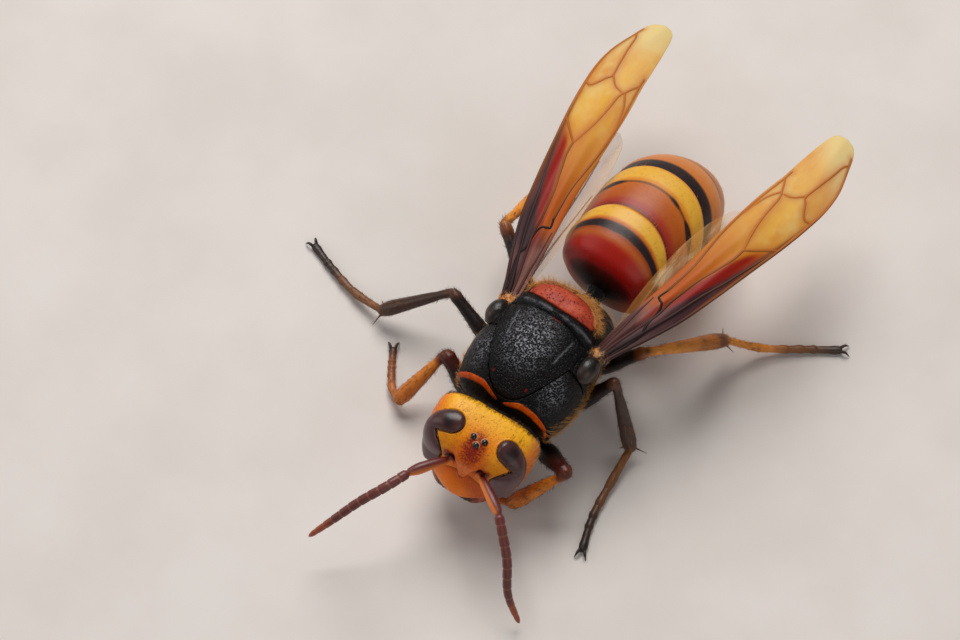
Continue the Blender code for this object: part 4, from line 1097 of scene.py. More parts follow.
def make_back(colours, angles, line):
    """The plate of the back, with a painted grey shine on its rib, painted silvery glints, silvery lines and
    small red spots.
    """
    rings = plate_rings(line + 0.02, np.full(angles.shape, PROPODEUM_Y + 0.02), angles, 190, back_relief)
    x, y, z = np.moveaxis(rings, -1, 0)
    thread = ridge(np.abs(x), 2.7 + 0.15 * y, 0.045) * ease(y, -2.0, -1.7) * ease(-y, -0.8, -0.5)
    thread = thread + 0.6 * ridge(x, 0.06, 0.04) * ease(y, -3.4, -3.0) * ease(-y, 1.2, 1.7)
    skin = shell_black(colours, "back_black", 5200.0, 0.3, 0.06, 0.16)
    glint(skin)
    skin.lay(paint(140, 22, 8), "spots", 0.2, 0.8)
    # Painted highlight: a grey shine is laid in patches along the rib.
    mottled = skin.window(skin.noise(1100.0, 4.0), 0.42, 0.58)
    skin.lay(paint(104, 104, 110), skin.times(skin.mark("gloss"), mottled), most=0.75)
    skin.lay(paint(118, 118, 124), "thread", most=0.8)
    made = shell("back_plate", rings, {
        "spots": 0.7 * hill(np.abs(x) - 1.7, y + 4.75, 0.26, 0.3) * (z > 10)
        + 0.8 * ridge(y, 1.42 - 0.03 * x**2, 0.1) * ridge(x, 0.5, 0.7) * (z > 11),
        # gloss: the rib where the painted shine is laid.
        "gloss": ridge(y, 1.9 - 0.01 * x**2, 0.16) * (z > 10.5),
        "thread": thread * (z > 10.5),
        # sheen: where the painted glints are laid, round the middle of the back.
        "sheen": (1 - ease(np.hypot((x + 0.45) / 3.3, (y + 1.2) / 3.6), 0.0, 1.0)) * (z > 10.0),
    })
    settle(made, skin.done(), "black_shell", "mesothorax")


def make_thorax(colours):
    """The collar, the back, the rear of the thorax and the scutellum as four plates."""
    angles = turn_angles(220)
    line = pronotum_line(angles)
    make_collar(colours, angles, line)
    make_back(colours, angles, line)
    front, rear = (np.full(angles.shape, y) for y in (PROPODEUM_Y - 0.1, THORAX_END_Y))
    rings = plate_rings(front, rear, angles, 60,
                        lambda y, around: -0.1 * ridge(thorax_at(y, around)[..., 0], 0, 0.15))
    skin = shell_black(colours, "rear_black", 3600.0)
    settle(shell("rear_plate", rings), skin.done(), "black_shell", "propodeum")
    make_scutellum(colours)


def scutellum_material(colours):
    skin = Finish("scutellum_shell", 0.45, specular=0.3)
    grain = skin.maths("ADD", skin.noise(900.0, 4.0), skin.times(skin.noise(6000.0, 3.0), 0.6))
    skin.start(colours.scutellum, paint(198, 86, 54), grain, 0.5, 1.1)
    pits = skin.cells(3900.0)
    # Painted shade: dark red is laid in the pits.
    skin.lay(paint(84, 18, 12), pits, 0.32, 0.18)
    # Painted shade: the plate darkens over its rolled rim, most at the rear, where it turns from the light.
    skin.lay(paint(96, 12, 6), "depth", 0.66, 0.97, 0.85)
    skin.bump(skin.window(pits, 0.05, 0.3), 0.06, 1.0)
    skin.bump(skin.noise(7000.0), 0.05, 1.0)
    return skin.done()


def make_scutellum(colours):
    """The coral half-moon plate: a cushion with a faint middle groove, its pits painted dark as shade and
    painted shade over its rolled rim.
    """
    around = turn_angles(160)
    c, s = np.cos(around), np.sin(around)
    front, rear = SCUTELLUM_FRONT_Y, SCUTELLUM_REAR_Y
    outline = np.stack([SCUTELLUM_HALF_WIDTH * c, np.where(
        s > 0, front + 0.5 + (rear - front - 0.5) * s, front + 0.3 * c**2 + 0.2 * (1 + s) ** 6)], -1)
    middle = np.array((0.0, 3.35))
    rings, depth = [], []
    for share in np.concatenate([np.linspace(0, 0.9, 44), np.linspace(0.915, 1.0, 12)]):
        plan = middle + (outline - middle) * share
        rolled = 0.16 * (1 - np.sqrt(1 - np.clip((share - 0.9) / 0.1, 0, 1) ** 2))
        groove = 0.06 * ridge(plan[:, 0], 0, 0.1) * (share < 0.97)
        z = thorax_top(plan[:, 0], plan[:, 1]) + 0.1 + 0.14 * (1 - share**4) - rolled - groove
        rings.append(np.column_stack([plan, z]))
        depth.append(np.full(len(around), share))
    low = rings[-1] - np.array((0, 0, 0.6))
    rings = np.array([*rings, low, np.broadcast_to(low.mean(axis=0), low.shape)])
    depth = np.array([*depth, depth[-1], depth[-1]])
    # depth carries the painted shade over the rim, made stronger towards the rear.
    rearward = ease(rings[..., 1], 3.2, 4.6)
    made = shell("scutellum_plate", rings, {"depth": depth * (0.75 + 0.25 * rearward)})
    settle(made, scutellum_material(colours), "red_shell", "scutellum")


def make_sleeves(colours):
    """The neck and the narrow waist, as ringed sleeves."""
    material = shell_black(colours, "sleeve_black", 3000.0).done()
    for name, ends, radii, node in SLEEVES:
        size = profile((0, 0.5, 1), radii, 40) * (1 - 0.04 * np.cos(np.linspace(0, 30, 40)) ** 2)
        rings, _ = limb_rings(smooth_path(ends, 40), size, 40)
        settle(shell(name, rings), material, "black_shell", node)


def make_wing_caps():
    """The two shell caps over the wing roots, each with a warm rim behind."""
    cap = Finish("wing_cap_shell", 0.34, specular=0.45)
    cap.start(paint(14, 10, 9), paint(62, 42, 32), cap.noise(900.0, 4.0), 0.35, 0.75)
    cap.lay(paint(176, 92, 24), "rim", 0.35, 0.9)
    cap.bump(cap.noise(2800.0, 3.0), 0.06, 1.0)
    material = cap.done()
    rows, columns = 40, 64
    lip = ridge(np.linspace(0, math.pi, rows)[:, None], 1.45, 0.1) * np.ones(columns)
    dome = ball(rows, columns) * (1 + 0.07 * lip)[..., None] * TEGULA_HALF
    for side, sign in SIDES.items():
        lean = np.array(Euler((0, sign * TEGULA_LEAN, 0)).to_matrix())
        rim = lip * ease(dome[..., 1] + 0.5 * sign * dome[..., 0], -0.3, 0.6)
        made = shell(f"wing_cap_{side}", dome @ lean.T + mirrored(TEGULA_AT, sign), {"rim": rim})
        settle(made, material, "black_shell", f"tegula_{side}")


def make_wing_roots():
    """The small pale plates between each wing cap and its wing."""
    root = Finish("wing_root_shell", 0.4)
    root.start(paint(34, 20, 16), paint(206, 128, 52), root.noise(700.0, 3.0), 0.42, 0.55)
    root.lay(paint(222, 176, 120), root.noise(1300.0, 2.0), 0.55, 0.7)
    root.bump(root.noise(2600.0, 3.0), 0.05, 0.8)
    material = root.done()
    for side, sign in SIDES.items():
        lumps = []
        for x, y, z, long, wide, tall in WING_ROOT_LUMPS:
            local = ball(15, 24) * np.array((wide, long, tall)) + np.array((x, y, z))
            lumps.append(shell("lump", mirrored(local, sign)))
        settle(join(f"wing_root_{side}", lumps), material, "black_shell")


# The gaster.


def gaster_at(place, angles, shrink=1.0):
    """Points of the gaster on a line that sweeps back over its top."""
    place, angles, shrink = np.broadcast_arrays(np.asarray(place, float), angles, shrink)
    fade = np.minimum(np.minimum(1.0, place), np.maximum(0.0, (5 - place) / 2))
    own = place - TERGITE_SWEEP * fade * np.minimum(1.0, 1 - np.sin(angles))
    y, z, half, height, lean = np.moveaxis(read_table(GASTER, own), -1, 0)
    c, s = oval(angles, GASTER_POWER)
    lean = np.radians(lean)
    up = s * height * shrink
    return np.stack([c * half * shrink, y + np.sin(lean) * up, z + np.cos(lean) * up], -1)


def gaster_material(colours):
    """Bands by the number of the ring and the share of its length, as on the species, with painted shadow
    darkening the first ring's front face.
    """
    skin = Finish("gaster_shell", 0.38, coat=0.08, coat_roughness=0.3, specular=0.3)
    wobble = skin.times(skin.maths("SUBTRACT", skin.noise(260.0, 3.0), 0.5), 0.06)
    place = skin.maths("DIVIDE", skin.maths("ADD", skin.mark("place"), wobble), RINGS)
    dark, yellow, brown = colours.band_black, colours.band_yellow, colours.brown

    def bands(*stops):
        return skin.ramp(place, tuple((where / RINGS, tone) for where, tone in stops))

    # The first ring's front face runs from black through dark red: partly its own dark colour, partly painted
    # shadow where it lies behind the thorax.
    front = bands(
        (0.0, paint(8, 3, 3)), (0.02, paint(22, 4, 3)), (0.06, paint(70, 8, 3)), (0.15, colours.deep_red),
        (0.34, paint(166, 26, 4)), (0.46, brown), (0.535, paint(150, 66, 24)), (0.56, dark), (0.67, dark),
        (0.72, paint(206, 110, 30)), (0.78, yellow), (0.95, yellow), (1.0, paint(214, 120, 40)),
        (1.01, paint(104, 28, 20)), (1.1, paint(160, 48, 32)), (1.25, brown), (1.53, paint(186, 96, 26)))
    rear = bands(
        (1.5, paint(190, 100, 28)), (1.6, paint(214, 130, 34)), (1.7, yellow), (1.93, yellow),
        (2.0, paint(214, 130, 40)), (2.02, dark), (2.28, dark), (2.36, paint(200, 112, 30)),
        (2.9, paint(206, 124, 36)), (3.03, dark), (3.25, paint(186, 106, 32)), (4.0, paint(190, 112, 34)),
        (4.08, dark), (4.4, paint(206, 128, 38)), (6.0, paint(222, 150, 52)))
    skin.start(front, rear, place, 1.5 / RINGS, 1.54 / RINGS)
    skin.lay(dark, "line", 0.1, 0.55)
    skin.lay(paint(178, 92, 34), "flank", most=0.45)
    skin.lay(paint(120, 42, 14), skin.noise(2600.0, 4.0, 0.7), 0.5, 0.7, 0.22)
    skin.bump(skin.noise(1500.0, 4.0), 0.03, 0.6)
    skin.bump(skin.noise(6500.0, 3.0), 0.02, 0.8)
    return skin.done()


def make_gaster(colours):
    """Six banded rings of the abdomen, each with its front tucked under the one before."""
    material = gaster_material(colours)
    angles = turn_angles(150)
    x = np.sin(angles)
    turn = np.degrees(angles) - 90
    weight = np.maximum(ridge(turn, 50, 20), ridge(turn, -52, 17))
    weight = np.maximum(0.42, np.maximum(weight, 0.6 * ridge(turn, -18, 14)))
    for i in range(RINGS):
        start = 0.0 if i == 0 else i - 0.07
        places = start + (i + 1 - start) * np.linspace(0, 1, 46) ** (2 if i == 0 else 1)
        tuck = 1 - TERGITE_TUCK * np.clip(1 - (places - i) / 0.9, 0, 1.05) * (i > 0)
        edge = 1 - 0.012 * ease(places, i + 0.975, i + 1.0)
        rings = list(gaster_at(places[:, None], angles, (tuck * edge)[:, None]))
        inner = gaster_at(i + 0.985, angles, 0.955) if i < RINGS - 1 else rings[-1]
        ends = [np.broadcast_to(r.mean(axis=0), r.shape) for r in (rings[0], inner)]
        rings = np.array([ends[0], *rings, inner, ends[1]])
        shown = np.concatenate([places[:1], places, places[-1:], places[-1:]])[:, None]
        line = ridge(shown, 1.555 + 0.012 * np.cos(angles * 4), 0.02 + 0.046 * weight) * weight
        made = shell(f"tergite_{i + 1}", rings, {
            "place": shown, "line": line * (x > 0.2), "flank": 1 - ease(x, -0.1, 0.45)})
        settle(made, material, "band", f"gaster_{i + 1}")


# Wings.


def wing_frame(root, tip, tilt, sign):
    """Directions of a wing: along it, towards its front edge, and out of its upper face."""
    along = unit(tip - root)
    lead = np.array((sign * math.cos(tilt), 0.0, -math.sin(tilt)))
    lead = unit(lead - along * lead.dot(along))
    return along, lead, np.cross(lead, along) * sign


class Wing:
    """One wing's surface, read by share of its length and share of its chord."""

    def __init__(self, root, tip, tilt, sign, outline, bow, sway, pleats):
        self.root = mirrored(root, sign)
        self.tip = np.array(tip, float)
        self.length = np.linalg.norm(self.tip - self.root)
        self.along, self.lead, self.normal = wing_frame(self.root, self.tip, tilt, sign)
        self.outline, self.bow, self.sway, self.pleats = outline, bow, sway, pleats

    def at(self, share, chord, lift=0.0):
        share, chord = np.broadcast_arrays(np.asarray(share, float), chord)
        front, rear = np.moveaxis(read_table(self.outline, share), -1, 0)
        aside = rear + (front - rear) * chord + self.sway * np.sin(math.pi * share)
        rise = self.bow * np.sin(math.pi * share)
        narrow = np.minimum(1.0, (front - rear) / 3.2)
        rise = rise + WING_CAMBER * 4 * chord * (1 - chord) * np.minimum(1.0, 3 * share) * narrow
        pleat = 0.06 * np.cos(chord * 19) * (1 - ease(share, 0.35, 0.7))
        pleat = pleat + 0.03 * np.cos(chord * 12 + share * 14) * ease(share, 0.4, 0.6)
        pleat = pleat * self.pleats * np.sin(math.pi * np.clip(chord, 0, 1)) ** 0.5 * narrow
        base = self.root + self.along * (share * self.length)[..., None]
        base = base + self.lead * aside[..., None]
        base = base + np.array((0, 0, 1.0)) * rise[..., None]
        return base + self.normal * (np.asarray(lift) + pleat)[..., None]


def wing_rings(wing, thick):
    """Rings across a wing, over its upper face and back along its lower one."""
    tip = 1 - 0.1 * np.linspace(1, 0, 40)[1:] ** 1.6
    shares = np.concatenate([[0.002], np.linspace(0.006, 0.9, 150), tip])
    chords = (1 - np.cos(np.linspace(0, math.pi, 45))) / 2
    over = wing.at(shares[:, None], chords, thick)
    under = wing.at(shares[:, None], chords[::-1], -thick)
    rings = np.concatenate([over, under], axis=1)
    ends = [np.broadcast_to(r.mean(axis=0), r.shape) for r in (rings[0], rings[-1])]
    share = np.concatenate([shares[:1], shares, shares[-1:]])[:, None]
    chord = np.concatenate([chords, chords[::-1]])[None, :]
    return np.array([ends[0], *rings, ends[1]]), *np.broadcast_arrays(share, chord)


def vein_line(wing, vein):
    """Share of the wing's length, place and radius along a vein."""
    start, end, _, points = vein
    plan = smooth_path(points, 12 * len(points))
    path = wing.at(plan[:, 0], np.clip(plan[:, 1], 0.0, 1.0))
    return plan[:, 0], path, np.linspace(start, end, len(path))


def vein_shells(wing, veins):
    """Each vein as a flattened tube that stands out of both faces."""
    made = []
    domes = len(DOME_STEPS)
    for vein in veins:
        share, path, radii = vein_line(wing, vein)
        rings, _ = limb_rings(path, radii, 10, 0.8)
        share = np.pad(share, domes, mode="edge")[:, None]
        dark = vein[2] * (1 - 0.75 * ease(share, 0.46, 0.66))
        made.append(shell("vein", rings, {"vein": 1.0, "dark_vein": dark, "share": share}))
    return made


def vein_nearness(wing, veins, points, spread):
    """A mark that fades from 1 on a vein's line to 0 at a spread beside it."""
    near = np.zeros(points.shape[:2])
    for vein in veins:
        _, path, radii = vein_line(wing, vein)
        for spot, radius in zip(path, radii):
            away = np.linalg.norm(points - spot, axis=-1)
            near = np.maximum(near, 1 - ease(away, 0.6 * radius, 1.6 * radius + spread))
    return near


def wing_skin(name):
    """A wing's material with the streaks along it that most of its colours follow."""
    skin = Finish(name, 0.45, specular=0.2)
    streak = skin.noise(420.0, 4.0, 0.6, skin.stretched((1.0, 0.25, 1.0)))
    skin.bump(streak, 0.06, 0.5)
    skin.bump(skin.noise(2500.0, 2.0), 0.015, 0.4)
    return skin, streak


def forewing_material(colours):
    skin, streak = wing_skin("forewing_skin")
    amber = skin.mix(skin.window(streak, 0.3, 0.75), colours.wing_amber, paint(222, 142, 20))
    skin.start(paint(184, 84, 6), amber, "share", 0.3, 0.72)
    outer = skin.window(skin.mark("share"), 0.5, 0.7, 0.0, 0.55)
    skin.lay(colours.wing_pale, skin.times(skin.window(skin.noise(330.0, 3.0), 0.46, 0.66), outer))
    skin.lay(colours.wing_pale, "pale")
    skin.lay(colours.wing_red, "red")
    skin.lay(paint(206, 112, 10), "stain", most=0.5)
    skin.lay(paint(176, 96, 24), "near_vein", most=0.5)
    skin.lay(skin.mix(skin.window(streak, 0.35, 0.7), colours.wing_dark, paint(96, 58, 58)), "dark")
    skin.lay(paint(138, 66, 26), "costa", most=0.7)
    skin.lay(skin.mix(skin.window(streak, 0.4, 0.65), paint(82, 44, 40), paint(134, 88, 78)), "root")
    vein = skin.mix(skin.mask("share", 0.2, 0.42), paint(92, 50, 42), paint(190, 108, 34))
    skin.lay(skin.mix(skin.mark("dark_vein"), vein, paint(34, 18, 20)), "vein")
    solid = skin.maths("MAXIMUM", skin.mark("dark"), skin.mark("red"))
    solid = skin.maths("MAXIMUM", skin.mark("vein"), solid)
    thin = skin.window(skin.mark("share"), 0.3, 1.0, 0.92, 0.62)
    return skin.see_through(skin.maths("ADD", thin, skin.times(solid, 0.3)))


def hindwing_material():
    skin, streak = wing_skin("hindwing_skin")
    # Painted sheen: pale streaks are laid along the membrane where it catches the light, and the membrane is
    # less clear on them.
    sheen_streaks = skin.window(streak, 0.52, 0.66)
    skin.start(paint(224, 160, 70), paint(244, 216, 170), sheen_streaks)
    skin.lay(paint(176, 110, 54), "vein", most=0.75)
    clear = skin.maths("ADD", skin.times(sheen_streaks, 0.2), 0.12)
    return skin.see_through(skin.maths("ADD", clear, skin.times(skin.mark("vein"), 0.35)))


def forewing_marks(wing, rings, share, chord):
    """The fore wing's colour marks by place on the wing, and by the veins near it."""
    dark, red = (np.interp(share, *np.array(edge).T) for edge in (DARK_EDGE, RED_EDGE))
    return {
        "share": share,
        "near_vein": vein_nearness(wing, FOREWING_VEINS, rings, 0.06),
        "stain": vein_nearness(wing, FOREWING_VEINS, rings, 0.6) * ease(share, 0.4, 0.6),
        "dark": ease(chord, dark - 0.06, dark + 0.06),
        "costa": ease(chord, 0.9, 0.95) * ease(share, 0.2, 0.35) * (1 - ease(share, 0.55, 0.75)),
        "red": ease(chord, red - 0.08, red + 0.05) * (1 - ease(share, 0.5, 0.62)),
        "root": (1 - ease(chord, 0.3, 0.5)) * (1 - ease(share, 0.16, 0.26)),
        "pale": ease(share + 0.1 * chord, 0.88, 1.0),
    }


def make_wings(sizes, colours):
    """Both pairs of wings: pleated membranes with a dark leading band and raised veins."""
    fore_skin, hind_skin = forewing_material(colours), hindwing_material()
    for side, sign in SIDES.items():
        fore = Wing(WING_ROOT, WING_TIPS[side], WING_TILT, sign, FOREWING, WING_BOW, WING_SWAY[side], 1.0)
        hind = Wing(HINDWING_ROOT, HINDWING_TIPS[side], HINDWING_TILT, sign, HINDWING, HINDWING_BOW, 0.0, 0.5)
        for pair, wing, veins, material in (
            ("forewing", fore, FOREWING_VEINS, fore_skin),
            ("hindwing", hind, HINDWING_VEINS, hind_skin),
        ):
            rings, share, chord = wing_rings(wing, sizes.membrane)
            marks = forewing_marks(wing, rings, share, chord) if wing is fore else {"share": share}
            sheet = shell("sheet", rings, marks)
            made = join(f"{pair}_sheet_{side}", [sheet, *vein_shells(wing, veins)])
            settle(made, material, "wing", f"{pair}_{side}")


# Legs.


def limb(kind, path, radius, sides, order, flat=1.0, span=1.0):
    """One section of a leg, marked with its order from the body and its own share of a span."""
    radii = radius * profile(*SECTIONS[kind], len(path))
    rings, shares = limb_rings(path, radii, sides, flat)
    rings[..., 2] = np.maximum(rings[..., 2], 0.0)
    return shell(kind, rings, {"along": (order + span * shares)[:, None]})


def make_spurs(pair, knee, ankle, toe):
    """The stiff spurs at the end of a tibia: one on a front leg, two on the others."""
    along, toward = unit(ankle - knee), unit(toe - ankle)
    across = unit(np.cross(along + toward, (0, 0, 1)))
    parts = []
    for lean in ((0.45,) if pair == "fore" else (0.45, -0.45)):
        foot = ankle - along * SPUR_ROOT + across * lean * TIBIA_RADIUS[pair]
        way = unit(along - toward * 0.4 + across * lean * 1.8)
        tip = foot + way * (SPUR_LENGTH[pair] + SPUR_ROOT)
        path = smooth_path((foot, (foot + tip) / 2 + along * 0.05, tip), 12)
        parts.append(limb("spur", path, SPUR_RADIUS, 12, 2.95, 1.0, 0.0))
    return parts


def make_foot(pair, ankle, toes):
    """Five tarsal joints and two claws."""
    route = smooth_path((ankle, *toes), ROUTE_STEPS + 1)
    done = 0.0
    parts = []
    for share in TARSOMERES:
        span = route[int(done * ROUTE_STEPS):int((done + share * 0.99) * ROUTE_STEPS) + 1]
        path = span[np.linspace(0, len(span) - 1, 16).astype(int)]
        parts.append(limb("joint", path, TARSUS_RADIUS[pair], 18, 3 + done, 0.85, share))
        done += share
    end = route[-1]
    ahead = unit((end - route[-30]) * np.array((1, 1, 0)))
    across = unit(np.cross(ahead, (0, 0, 1)))
    for way in (-1, 1):
        foot = end - ahead * 0.25 + across * way * 0.1
        bend = end + ahead * CLAW_LENGTH * 0.5 + across * way * CLAW_SPREAD + np.array((0, 0, 0.22))
        tip = end + ahead * CLAW_LENGTH + across * way * CLAW_SPREAD * 1.5 - np.array((0, 0, 0.2))
        parts.append(limb("claw", smooth_path((foot, bend, tip), 16), CLAW_RADIUS, 12, 3.99, 1.0, 0.0))
    return parts


def make_leg(key, material):
    """Coxa with trochanter, femur, tibia with spurs, five tarsal joints and two claws."""
    pair, side = key.split("_")
    trochanter, knee, ankle = (np.array(p, float) for p in LEGS[key][:3])
    toes = np.array(LEGS[key][3])
    root = mirrored(COXA_ROOTS[pair], SIDES[side])
    elbow = root + (trochanter - root) * 0.78
    hip = trochanter + (knee - trochanter) * 0.02
    below_knee = knee + (ankle - knee) * 0.01
    parts = [
        limb("coxa", smooth_path((root, (root + elbow) / 2, elbow), 22), COXA_RADIUS[pair], 26, 0),
        limb("trochanter", smooth_path((elbow, (elbow + trochanter) / 2, trochanter), 14),
             COXA_RADIUS[pair], 24, 0.9, 1.0, 0.1),
        limb("femur", smooth_path((hip, (trochanter + knee) / 2 + np.array(FEMUR_BOW), knee), 40),
             FEMUR_RADIUS[pair], 26, 1),
        limb("tibia", smooth_path((below_knee, (knee + ankle) / 2, ankle), 40),
             TIBIA_RADIUS[pair], 26, 2, 0.92),
        *make_spurs(pair, knee, ankle, toes[0]),
        *make_foot(pair, ankle, toes),
    ]
    made = join(f"limb_{key}", parts)
    settle(made, material, "leg", *(f"leg_{key}_{part}" for part in LIMB_PARTS))


def make_legs(colours):
    """Six jointed legs, each pair with its own run of colours."""
    black, orange = colours.leg_black, colours.leg_orange
    runs = {
        "fore": ((0.0, black), (0.4, black), (0.475, paint(70, 14, 8)), (0.52, paint(120, 52, 22)),
                 (0.56, paint(226, 132, 30)), (0.74, paint(206, 112, 24)), (0.78, paint(190, 108, 44)),
                 (0.93, paint(140, 76, 34)), (1.0, paint(60, 34, 22))),
        "mid": ((0.0, black), (0.46, black), (0.5, paint(92, 54, 34)), (0.53, paint(62, 40, 30)),
                (0.73, paint(66, 42, 32)), (0.77, paint(136, 84, 42)), (0.87, paint(112, 70, 38)),
                (0.93, paint(56, 36, 26)), (1.0, paint(34, 22, 18))),
        "hind": ((0.0, black), (0.45, black), (0.49, paint(128, 66, 22)), (0.52, orange),
                 (0.7, paint(196, 118, 42)), (0.74, paint(128, 72, 36)), (0.76, paint(236, 152, 60)),
                 (0.85, paint(228, 142, 54)), (0.89, paint(140, 86, 40)), (1.0, paint(54, 36, 24))),
    }
    for pair, stops in runs.items():
        horn = Finish(f"{pair}_leg_shell", 0.42, specular=0.45)
        mottle = horn.times(horn.maths("SUBTRACT", horn.noise(500.0, 4.0), 0.5), 0.16)
        tone = horn.maths("DIVIDE", horn.maths("ADD", horn.mark("along"), mottle), len(LIMB_PARTS))
        horn.base = horn.ramp(tone, stops)
        horn.lay(paint(70, 26, 10), horn.window(horn.noise(700.0, 4.0), 0.48, 0.75, 0.0, 0.5))
        horn.bump(horn.noise(2600.0, 3.0), 0.05, 0.7)
        material = horn.done()
        for side in SIDES:
            make_leg(f"{pair}_{side}", material)


# Hair.


def skin_samples(name, count, draw, wanted):
    """Random face middles of a piece with their normals and place on its own unwrap."""
    made = bpy.data.objects[name]
    mesh = made.data
    total = len(mesh.polygons)
    middles, normals, areas = np.zeros(total * 3), np.zeros(total * 3), np.zeros(total)
    mesh.polygons.foreach_get("center", middles)
    mesh.polygons.foreach_get("normal", normals)
    mesh.polygons.foreach_get("area", areas)
    starts = np.zeros(total, int)
    mesh.polygons.foreach_get("loop_start", starts)
    flat = np.zeros(len(mesh.loops) * 2)
    mesh.uv_layers[0].data.foreach_get("uv", flat)
    middles, normals = from_frame(middles.reshape(-1, 3)), normals.reshape(-1, 3)
    weights = areas * np.clip(wanted(middles, normals), 0, None)
    if weights.sum() <= 0:
        return middles[:0], normals[:0], flat.reshape(-1, 2)[:0]
    picked = draw.choice(total, int(count), p=weights / weights.sum())
    jitter = draw.normal(0, 0.03, (len(picked), 3))
    jitter -= normals[picked] * (jitter * normals[picked]).sum(1, keepdims=True)
    return middles[picked] + jitter, normals[picked], flat.reshape(-1, 2)[starts[picked]]


def tile_of(number):
    """Left, bottom and size of one of the six squares that a coat's unwrap is split into."""
    return 0.33 * (number % 3), 0.5 * (number // 3), 0.3


class Coat:
    """Many tapered, bent hairs gathered into one mesh."""

    def __init__(self, sizes, seed):
        self.sizes = sizes
        self.draw = np.random.default_rng(seed)
        self.roots, self.normals, self.ways = [], [], []
        self.lengths, self.tones, self.unwrap, self.widths = [], [], [], []

    def grow(self, skin, count, wanted, lie, length, stand, tone, tile=(0.0, 0.0, 1.0), wide=1.0):
        """Adds hairs on a skin. lie gives where they lean, stand how far they stand out."""
        count = count * self.sizes.hair_amount
        roots, normals, flat = skin_samples(skin, count, self.draw, wanted)
        number = len(roots)
        if not number:
            return
        along = lie(roots) if callable(lie) else np.broadcast_to(np.array(lie, float), roots.shape)
        along = along - normals * (along * normals).sum(1, keepdims=True)
        way = unit(along) + normals * stand + self.draw.normal(0, 0.22, roots.shape)
        low, high = length
        self.roots.append(roots)
        self.normals.append(normals)
        self.ways.append(unit(way))
        self.lengths.append(self.draw.uniform(low, high, number) * self.sizes.hair_length)
        self.tones.append(np.clip(self.draw.normal(tone, 0.07, number), 0, 1))
        self.widths.append(np.full(number, wide * self.sizes.hair_width))
        self.unwrap.append(flat * tile[2] + np.array(tile[:2]))

    def build(self, name, material, slot):
        """The hairs as closed three-sided spines that bend back towards their skin."""
        roots, normals, ways = map(np.concatenate, (self.roots, self.normals, self.ways))
        lengths, tones, widths = map(np.concatenate, (self.lengths, self.tones, self.widths))
        unwrap = np.concatenate(self.unwrap)
        count = len(roots)
        side = unit(np.cross(ways, normals + self.draw.normal(0, 0.1, normals.shape)))
        up = np.cross(side, ways)
        droop = unit(ways - normals * 0.9)
        levels = ((-0.04, 1.0), (0.4, 0.8), (0.75, 0.5))
        points = np.zeros((count, 10, 3))
        for level, (share, thick) in enumerate(levels):
            step = ways * (share * (1 - 0.25 * share)) + droop * (0.25 * share * share)
            middle = roots + step * lengths[:, None]
            for corner in range(3):
                a = 2 * math.pi * corner / 3
                spread = side * math.cos(a) + up * (0.7 * math.sin(a))
                points[:, 3 * level + corner] = middle + spread * (0.5 * widths * thick)[:, None]
        points[:, 9] = roots + (ways * 0.75 + droop * 0.25) * lengths[:, None]
        faces = [(2, 1, 0)]
        for level in (0, 3):
            for corner in range(3):
                after = (corner + 1) % 3
                faces.append((level + corner, level + after, level + 3 + after, level + 3 + corner))
        faces += [(6 + c, 6 + (c + 1) % 3, 9) for c in range(3)]
        sizes = np.array([len(f) for f in faces])
        corners = np.concatenate([np.array(f) for f in faces])
        loops = (corners[None, :] + 10 * np.arange(count)[:, None]).ravel()
        totals = np.tile(sizes, count)
        mesh = bpy.data.meshes.new(name)
        mesh.vertices.add(count * 10)
        mesh.vertices.foreach_set("co", to_frame(points).ravel())
        mesh.loops.add(len(loops))
        mesh.loops.foreach_set("vertex_index", loops)
        mesh.polygons.add(len(totals))
        mesh.polygons.foreach_set("loop_start", np.concatenate([[0], np.cumsum(totals)[:-1]]))
        mesh.update(calc_edges=True)
        mesh.validate()
        patch = mesh.uv_layers.new(name="OFBake")
        around = np.array([(math.cos(a), math.sin(a)) for a in np.arange(10) * 0.628]) * 0.0015
        spots = unwrap[:, None, :] * 0.99 + 0.005 + around[corners][None, :, :]
        patch.data.foreach_set("uv", spots.astype(np.float32).ravel())
        made = bpy.data.objects.new(name, mesh)
        bpy.context.scene.collection.objects.link(made)
        write_marks(made, {"tone": np.repeat(tones, 10)})
        mesh.shade_smooth()
        settle(made, material, slot)


def hair_material(colours):
    hair = Finish("hair", 0.45, coat=0.0, specular=0.35)
    shift = hair.times(hair.maths("SUBTRACT", hair.noise(900.0), 0.5), 0.2)
    hair.base = hair.ramp(hair.maths("ADD", hair.mark("tone"), shift), (
        (0.15, colours.hair_dark), (0.4, paint(104, 62, 34)), (0.7, colours.hair_gold),
        (0.95, paint(226, 206, 170))))
    return hair.done()


